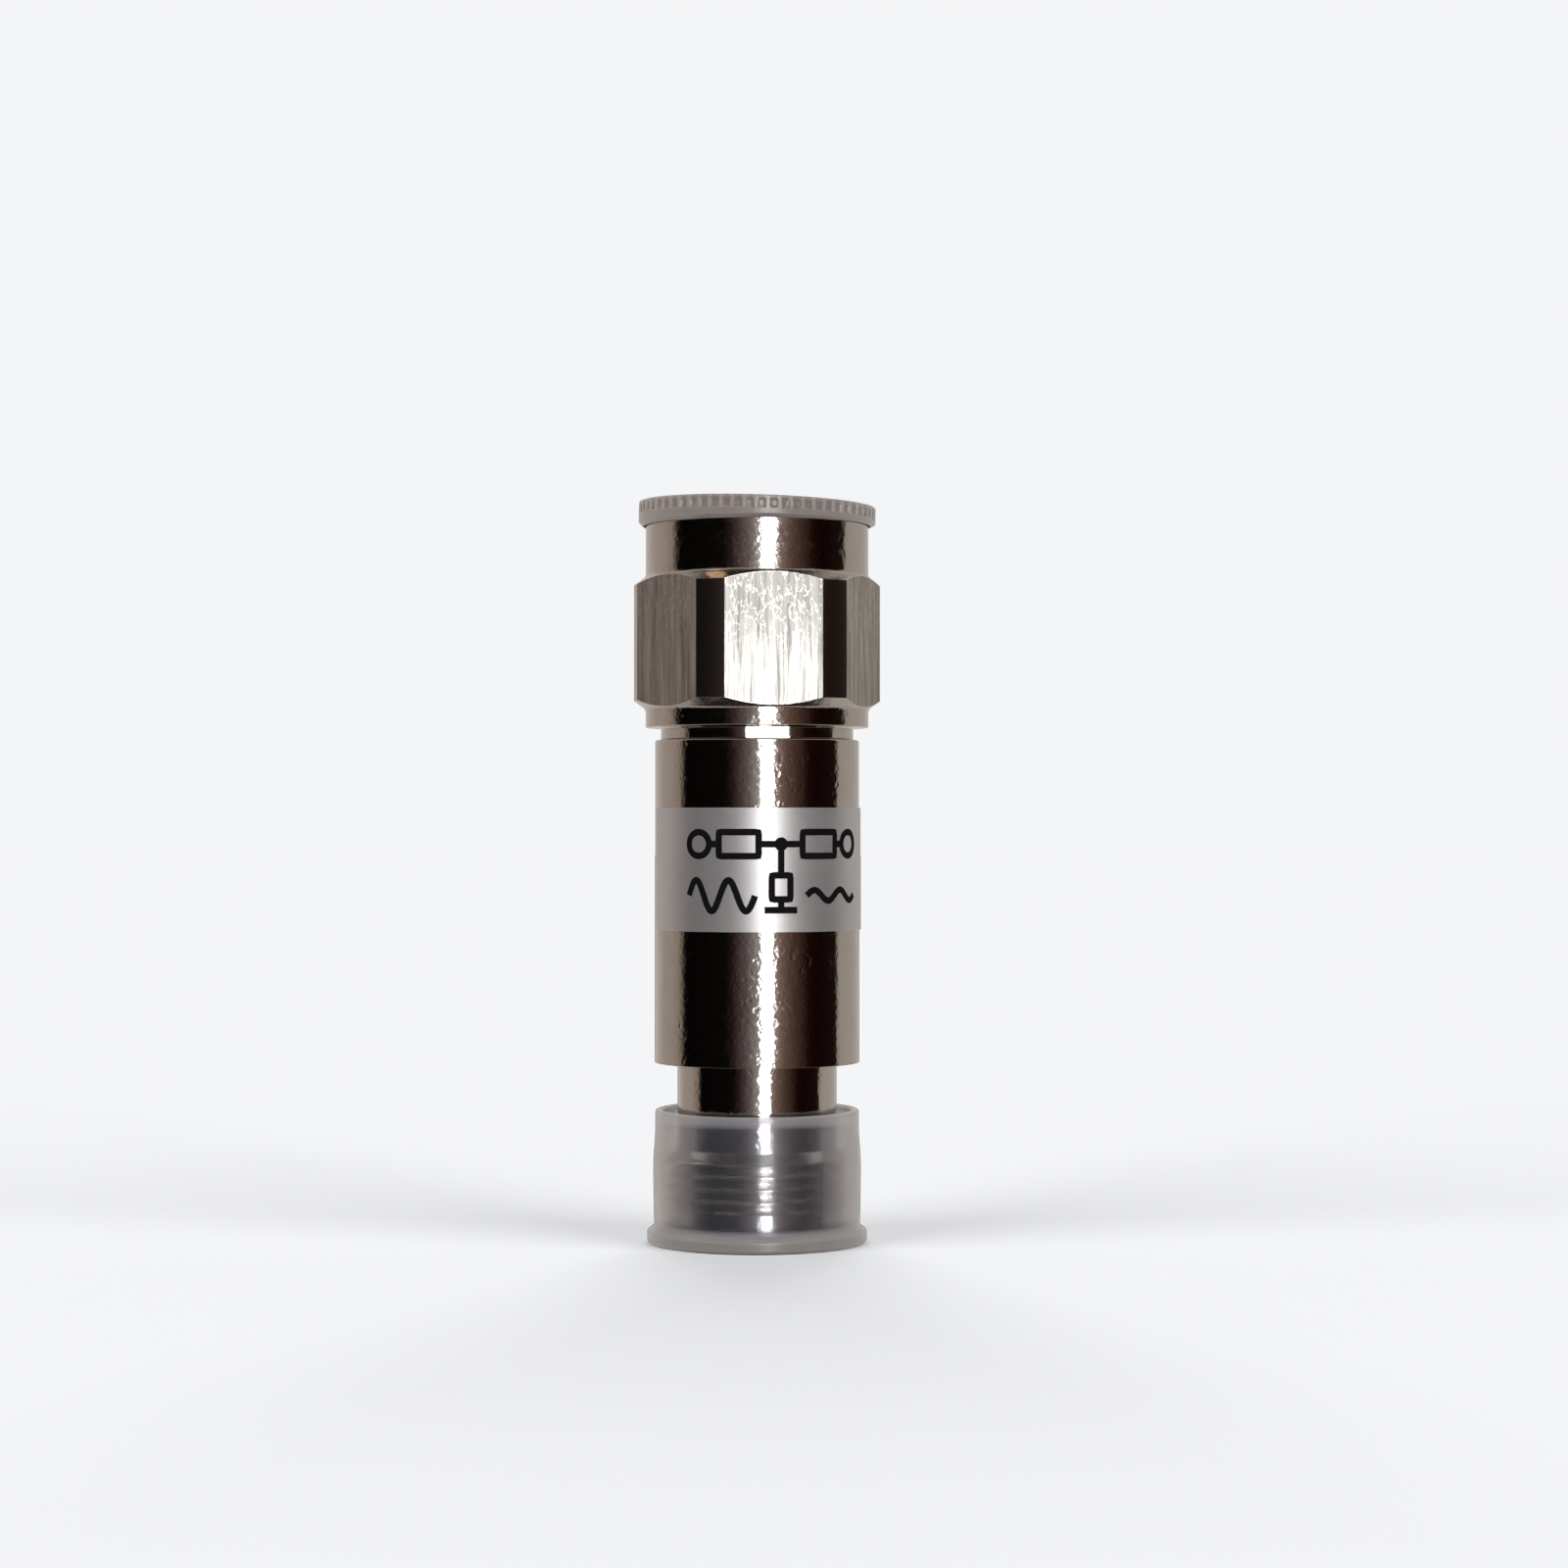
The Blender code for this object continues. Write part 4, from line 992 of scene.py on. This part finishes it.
def upper_cap():
    """The frosted cap pushed into the nut, slightly askew, with fine ribs round its edge."""
    rim = NUT_ROUND + 0.61 * MM
    fine_edge = 0.04 * MM
    crown = 1.02 * MM
    lip = -0.45 * MM
    lip_inner = NUT_ROUND + 0.15 * MM
    skirt = 7.0947 * MM
    inner = 6.2947 * MM
    skirt_end = -5.5 * MM
    corners = [
        (0, crown, 0),
        (rim, crown, 0.2 * MM),
    ]
    rows = 16
    rib_low = -0.10 * MM
    rib_high = crown - 0.42 * MM
    for i in range(rows + 1):
        corners.append((rim, rib_high + (rib_low - rib_high) * i / rows, 0))
    corners += [
        (rim, lip + 0.13 * MM, fine_edge),
        (lip_inner + 0.08 * MM, lip, fine_edge),
        (lip_inner, lip, fine_edge),
        (lip_inner, 0, fine_edge),
        (skirt, 0, fine_edge),
        (skirt, skirt_end, 0.25 * MM),
        (inner, skirt_end, 0.1 * MM),
        (inner, 0.02 * MM, 0.3 * MM),
        (0, 0.02 * MM, 0),
    ]
    piece = lathe("upper_cap", corners, frosted_cap, 8 * RIB_COUNT, whole=False)
    values = {
        "Bottom": rib_low,
        "Top": rib_high + 0.1 * MM,
        "Wall": rim - SUPPORT,
        "Material": frosted_cap,
    }
    piece = grow(piece, rib_tree(), values)
    tilt = math.radians(CAP_TILT_DEG)
    seat = top("coupling_nut") + NUT_ROUND * math.sin(tilt) + 0.05 * MM
    askew = Matrix.Translation((0, 0, seat)) @ Matrix.Rotation(tilt, 4, "Y")
    for vertex in piece.data.vertices:
        across = math.hypot(vertex.co.x, vertex.co.y)
        hang = min(max((rib_low - vertex.co.z) / (rib_low - lip), 0.0), 1.0)
        level = CAP_LIP_LEVEL + vertex.co.z - lip
        vertex.co = askew @ vertex.co
        if across > lip_inner - SUPPORT:
            vertex.co.z += hang * (level - vertex.co.z)
    clean(piece.data)
    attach(piece, "upper_cap")
    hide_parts("plug_dust_cap")


def label():
    """The silver label, wrapped part of the way round."""
    low, high = bottom("rating_label"), top("rating_label")
    inner = reach("main_body") + LABEL_GAP
    outer = inner + LABEL_THICKNESS
    edge = 0.02 * MM
    section = rounded([(outer, high, edge), (outer, low, edge), (inner, low, edge), (inner, high, edge)])
    steps = 120
    columns = []
    for i in range(steps + 1):
        angle = math.radians(LABEL_START_DEG + (LABEL_END_DEG - LABEL_START_DEG) * i / steps)
        columns.append([(r * math.sin(angle), -r * math.cos(angle), z) for r, z in section])
    piece = closed_skin("label", columns, foil, closed=False)
    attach(piece, "attenuator")
    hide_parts("rating_label")


def straight(x0, y0, x1, y1):
    count = max(2, round(math.hypot(x1 - x0, y1 - y0) / 0.2))
    return [(x0 + (x1 - x0) * i / count, y0 + (y1 - y0) * i / count) for i in range(count + 1)]


def frame_outline(x, y, width, height):
    """The outline of a box, round its four sides."""
    half_w, half_h = width / 2, height / 2
    left, right = x - half_w, x + half_w
    low, high = y - half_h, y + half_h
    corners = [(left, low), (right, low), (right, high), (left, high)]
    points = []
    for i in range(4):
        points += straight(*corners[i], *corners[(i + 1) % 4])[:-1]
    return points


def loop_outline(x, y, radius):
    count = 28
    return [
        (x + radius * math.cos(2 * math.pi * i / count), y + radius * math.sin(2 * math.pi * i / count))
        for i in range(count)
    ]


def wave(x, y, length, height, turns):
    count = 48
    return [
        (x + length * i / count, y + 0.5 * height * math.sin(2 * math.pi * turns * i / count))
        for i in range(count + 1)
    ]


def label_print():
    """A plain drawing of what the part does, in millimetres along and up the label.

    The upper row is a line with two boxes and a node between them. The lower row is a tall wave
    that becomes a low one, with the branch to earth between them.
    """
    upper = 2.15
    lower = -2.15
    center = 2.1
    tall = 2.6
    strokes = [
        (loop_outline(center - 7.2, upper, 1.0), True),
        (straight(center - 6.2, upper, center - 5.3, upper), False),
        (frame_outline(center - 3.6, upper, 3.4, 2.0), True),
        (straight(center - 1.9, upper, center + 1.9, upper), False),
        (loop_outline(center, upper, 0.30), True),
        (frame_outline(center + 3.6, upper, 3.4, 2.0), True),
        (straight(center + 5.3, upper, center + 6.2, upper), False),
        (loop_outline(center + 7.2, upper, 1.0), True),
        (wave(center - 8.2, lower, 6.0, tall, 2), False),
        (straight(center, upper - 0.2, center, lower + 1.7), False),
        (frame_outline(center, lower + 0.7, 1.6, 2.0), True),
        (straight(center, lower - 0.3, center, lower - 1.2), False),
        (straight(center - 1.4, lower - 1.2, center + 1.4, lower - 1.2), False),
        (wave(center + 2.3, lower, 5.9, 0.35 * tall, 2), False),
    ]
    curve = bpy.data.curves.new("label_print", "CURVE")
    curve.dimensions = "3D"
    for points, closed in strokes:
        spline = curve.splines.new("POLY")
        spline.points.add(len(points) - 1)
        for point, (x, y) in zip(spline.points, points):
            point.co = (x * MM, y * MM, 0, 1)
        spline.use_cyclic_u = closed
    flat = add_object("label_print", curve)
    values = {
        "Radius": reach("main_body") + LABEL_GAP + LABEL_THICKNESS + 0.6 * INK_THICKNESS,
        "Middle": 0.5 * (bottom("rating_label") + top("rating_label")),
        "Material": ink,
    }
    piece = grow(flat, ink_tree(), values)
    clean(piece.data)
    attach(piece, "attenuator")


def small_turned(name, node, body, corners, material, whole=True):
    """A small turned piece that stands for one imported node."""
    piece = lathe(name, corners, material, SMALL_STEPS, whole)
    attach(piece, body)
    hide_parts(node)
    return piece


def gasket():
    low, high = bottom("plug_gasket"), top("plug_gasket")
    corners = [
        (6.39 * MM, high, 0.35 * MM),
        (6.39 * MM, low, 0.35 * MM),
        (4.1 * MM, low, SOFT_EDGE),
        (4.1 * MM, high, SOFT_EDGE),
    ]
    small_turned("gasket", "plug_gasket", "attenuator", corners, silicone)


def beads():
    for node in ("jack_insulator", "plug_insulator"):
        low, high = bottom(node), top(node)
        corners = [
            (4.44 * MM, high, SOFT_EDGE),
            (4.44 * MM, low, SOFT_EDGE),
            (3.4 * MM, low, LIGHT_EDGE),
            (2.8 * MM, low + 0.6 * MM, LIGHT_EDGE),
            (1.8 * MM, low + 0.6 * MM, LIGHT_EDGE),
            (1.2 * MM, low, LIGHT_EDGE),
            (1.2 * MM, high, LIGHT_EDGE),
            (1.8 * MM, high - 0.6 * MM, LIGHT_EDGE),
            (2.8 * MM, high - 0.6 * MM, LIGHT_EDGE),
            (3.4 * MM, high, LIGHT_EDGE),
        ]
        name = node.replace("insulator", "bead")
        small_turned(name, node, "attenuator", corners, bead_white)


def pin():
    low, tip = bottom("plug_center_pin"), top("plug_center_pin")
    reed = 0.825 * MM
    shoulder = tip - 5.7 * MM
    neck_z = top("plug_insulator") + SEAT_GAP
    corners = [
        (0, tip, 0),
        (0.35 * MM, tip, 0.1 * MM),
        (reed, tip - 0.9 * MM, 0.3 * MM),
        (reed, shoulder, LIGHT_EDGE),
        (CORE, shoulder, 0.1 * MM),
        (CORE, neck_z, LIGHT_EDGE),
        (CORE_NECK, neck_z, LIGHT_EDGE),
        (CORE_NECK, low, LIGHT_EDGE),
        (SCREW_HOLE, low, LIGHT_EDGE),
        (SCREW_HOLE, low + SCREW_DEPTH, LIGHT_EDGE),
        (0, low + SCREW_DEPTH, 0),
    ]
    small_turned("pin", "plug_center_pin", "attenuator", corners, gold, whole=False)


def socket():
    tip, high = bottom("jack_center_contact"), top("jack_center_contact")
    neck_z = bottom("jack_insulator") - SEAT_GAP
    bore = 0.905 * MM
    bore_end = tip + 5.2 * MM
    corners = [
        (0, high - SCREW_DEPTH, 0),
        (SCREW_HOLE, high - SCREW_DEPTH, LIGHT_EDGE),
        (SCREW_HOLE, high, LIGHT_EDGE),
        (CORE_NECK, high, LIGHT_EDGE),
        (CORE_NECK, neck_z, LIGHT_EDGE),
        (CORE, neck_z, LIGHT_EDGE),
        (CORE, tip, 0.2 * MM),
        (bore, tip, 0.15 * MM),
        (bore, bore_end, LIGHT_EDGE),
        (0, bore_end, 0),
    ]
    piece = lathe("socket", corners, gold, SMALL_STEPS, whole=False)
    piece = cut(piece, slot_cutters(0.35 * MM, 6.4 * MM, tip))
    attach(piece, "attenuator")
    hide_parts("jack_center_contact")


def hidden_nodes():
    """The pieces sealed inside keep their packed form and get their finish."""
    finishes = {
        "jack_bead_retainer": brass,
        "plug_bead_retainer": brass,
        "chip_holder_front": brass,
        "chip_holder_back": brass,
        "nut_retaining_ring": bronze,
        "input_chip_contact": gold,
        "output_chip_contact": gold,
        "attenuator_chip": ceramic,
    }
    for node, material in finishes.items():
        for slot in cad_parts[node].material_slots:
            slot.material = material


tube()
jack()
plug()
nut()
lower_cap()
upper_cap()
label()
label_print()
gasket()
beads()
pin()
socket()
hidden_nodes()


# Camera, floor and light

CAMERA_DISTANCE = 0.286
CAMERA_HEIGHT = 0.0362
CAMERA_ASIDE = 0.00231
CAMERA_PITCH_DEG = 0.60
LENS = 76.5


def camera():
    """Level, straight from the front, close enough for a little perspective."""
    data = bpy.data.cameras.new("camera")
    data.lens = LENS
    data.sensor_width = 36.0
    data.clip_start = 0.01
    eye = add_object("camera", data)
    aim = Matrix.Rotation(math.radians(90 + CAMERA_PITCH_DEG), 4, "X")
    eye.matrix_world = Matrix.Translation((CAMERA_ASIDE, -CAMERA_DISTANCE, CAMERA_HEIGHT)) @ aim
    bpy.context.scene.camera = eye


def floor():
    """Plain pale floor. It keeps the object's shadow, and mirrors show the room instead of it."""
    mesh = bpy.data.meshes.new("floor")
    half = 3.0
    corners = [(-half, -half, 0), (half, -half, 0), (half, half, 0), (-half, half, 0)]
    mesh.from_pydata(corners, [], [(0, 1, 2, 3)])
    mesh.materials.append(matte_solid("floor_paper", (0.80, 0.81, 0.83), (0.79, 0.80, 0.82), 0.8))
    sheet = add_object("floor", mesh)
    sheet.is_shadow_catcher = True
    sheet.visible_glossy = False
    sheet.visible_transmission = False


def lamp(name, place, target, width, height, glow, color=(1.0, 1.0, 1.0), mirrored=True):
    """A soft lamp. glow is how bright its face looks, where 1 is white.

    A mirrored lamp gives bright metal its streak, and the others give everything its soft light.
    """
    data = bpy.data.lights.new(name, "AREA")
    data.shape = "RECTANGLE"
    data.size = width
    data.size_y = height
    data.energy = glow * math.pi * width * height
    data.color = color
    light = add_object(name, data)
    light.location = place
    way = Vector(target) - Vector(place)
    light.rotation_euler = way.to_track_quat("-Z", "Y").to_euler()
    light.visible_camera = False
    light.visible_glossy = mirrored
    light.visible_transmission = mirrored
    light.visible_diffuse = not mirrored


# What bright metal shows of the room, by degrees round the object: 0 is the front, 90 the right
ROOM_STOPS = (
    (-180, (0.60, 0.56, 0.52)),
    (-150, (0.50, 0.46, 0.43)),
    (-128, (0.38, 0.33, 0.30)),
    (-111, (0.37, 0.31, 0.28)),
    (-98, (0.30, 0.24, 0.20)),
    (-89, (0.002, 0.001, 0.001)),
    (-34, (0.004, 0.003, 0.003)),
    (-26, (0.022, 0.012, 0.012)),
    (-18, (0.07, 0.05, 0.05)),
    (-9, (0.14, 0.11, 0.11)),
    (0, (0.30, 0.27, 0.26)),
    (22, (0.30, 0.22, 0.20)),
    (26, (0.22, 0.14, 0.125)),
    (34, (0.125, 0.08, 0.058)),
    (42, (0.08, 0.045, 0.035)),
    (50, (0.045, 0.025, 0.02)),
    (60, (0.012, 0.003, 0.002)),
    (72, (0.006, 0.002, 0.002)),
    (101, (0.012, 0.006, 0.004)),
    (104, (0.37, 0.34, 0.30)),
    (140, (0.42, 0.39, 0.36)),
    (180, (0.60, 0.56, 0.52)),
)
BACKGROUND = (0.905, 0.913, 0.930)
FILL_GLOW = 3.9
FILL_PLACES = {
    "left": (-0.60, -0.45, 0.40),
    "right": (0.60, -0.45, 0.40),
    "back": (0.0, 0.75, 0.40),
}
ROOM_ABOVE = (0.42, 0.39, 0.36)
ROOM_OVERHEAD = (0.03, 0.02, 0.018)


def room():
    """A dark room in front, pale paper behind and round it, as the bright metal shows it.

    What is seen directly, or through a clear wall, is the plain pale background.
    """
    world = bpy.data.worlds.new("room")
    bpy.context.scene.world = world
    world.use_nodes = True
    tree = world.node_tree
    shader = tree.nodes["Background"]
    way = tree.nodes.new("ShaderNodeTexCoord")
    split = tree.nodes.new("ShaderNodeSeparateXYZ")
    tree.links.new(way.outputs["Generated"], split.inputs[0])
    x, y, z = split.outputs
    turn = calc(tree, "ARCTAN2", x, calc(tree, "MULTIPLY", y, -1.0))
    share = calc(tree, "ADD", calc(tree, "DIVIDE", turn, 2 * math.pi), 0.5)
    ramp = tree.nodes.new("ShaderNodeValToRGB")
    stops = ramp.color_ramp.elements
    stops.remove(stops[-1])
    stops[0].position = 0.0
    stops[0].color = (*ROOM_STOPS[0][1], 1.0)
    for degrees, color in ROOM_STOPS[1:]:
        stops.new(0.5 + degrees / 360.0).color = (*color, 1.0)
    tree.links.new(share, ramp.inputs["Fac"])
    height = calc(tree, "ABSOLUTE", z)
    steep = spread(tree, height, 0.0, 1.0, 0.45, 0.75)
    overhead = spread(tree, height, 0.0, 1.0, 0.76, 0.86)
    sloping = blend_colors(tree, overhead, (*ROOM_ABOVE, 1.0), (*ROOM_OVERHEAD, 1.0))
    around = blend_colors(tree, steep, ramp.outputs["Color"], sloping)
    path = tree.nodes.new("ShaderNodeLightPath")
    not_mirrored = calc(tree, "LESS_THAN", path.outputs["Glossy Depth"], 0.5)
    not_scattered = calc(tree, "LESS_THAN", path.outputs["Diffuse Depth"], 0.5)
    straight_through = calc(tree, "MULTIPLY", not_mirrored, not_scattered)
    through = calc(tree, "MULTIPLY", straight_through, path.outputs["Is Transmission Ray"])
    direct = calc(tree, "MAXIMUM", path.outputs["Is Camera Ray"], through)
    seen = blend_colors(tree, direct, around, (*BACKGROUND, 1.0))
    tree.links.new(seen, shader.inputs["Color"])
    shader.inputs["Strength"].default_value = 1.0


camera()
floor()
lamp(
    "strip_lamp",
    place=(0.124, -0.60, 0.045),
    target=(0, 0, 0.035),
    width=0.145,
    height=0.60,
    glow=8.0,
)
lamp(
    "warm_glow",
    place=(-0.23, -0.08, 0.492),
    target=(0, 0, 0.057),
    width=0.13,
    height=0.09,
    glow=0.9,
    color=(1.0, 0.66, 0.40),
)
for side, place in FILL_PLACES.items():
    lamp("soft_fill_" + side, place, (0, 0, 0.03), 0.6, 0.6, FILL_GLOW, mirrored=False)
room()

bpy.context.scene.view_settings.view_transform = "Standard"
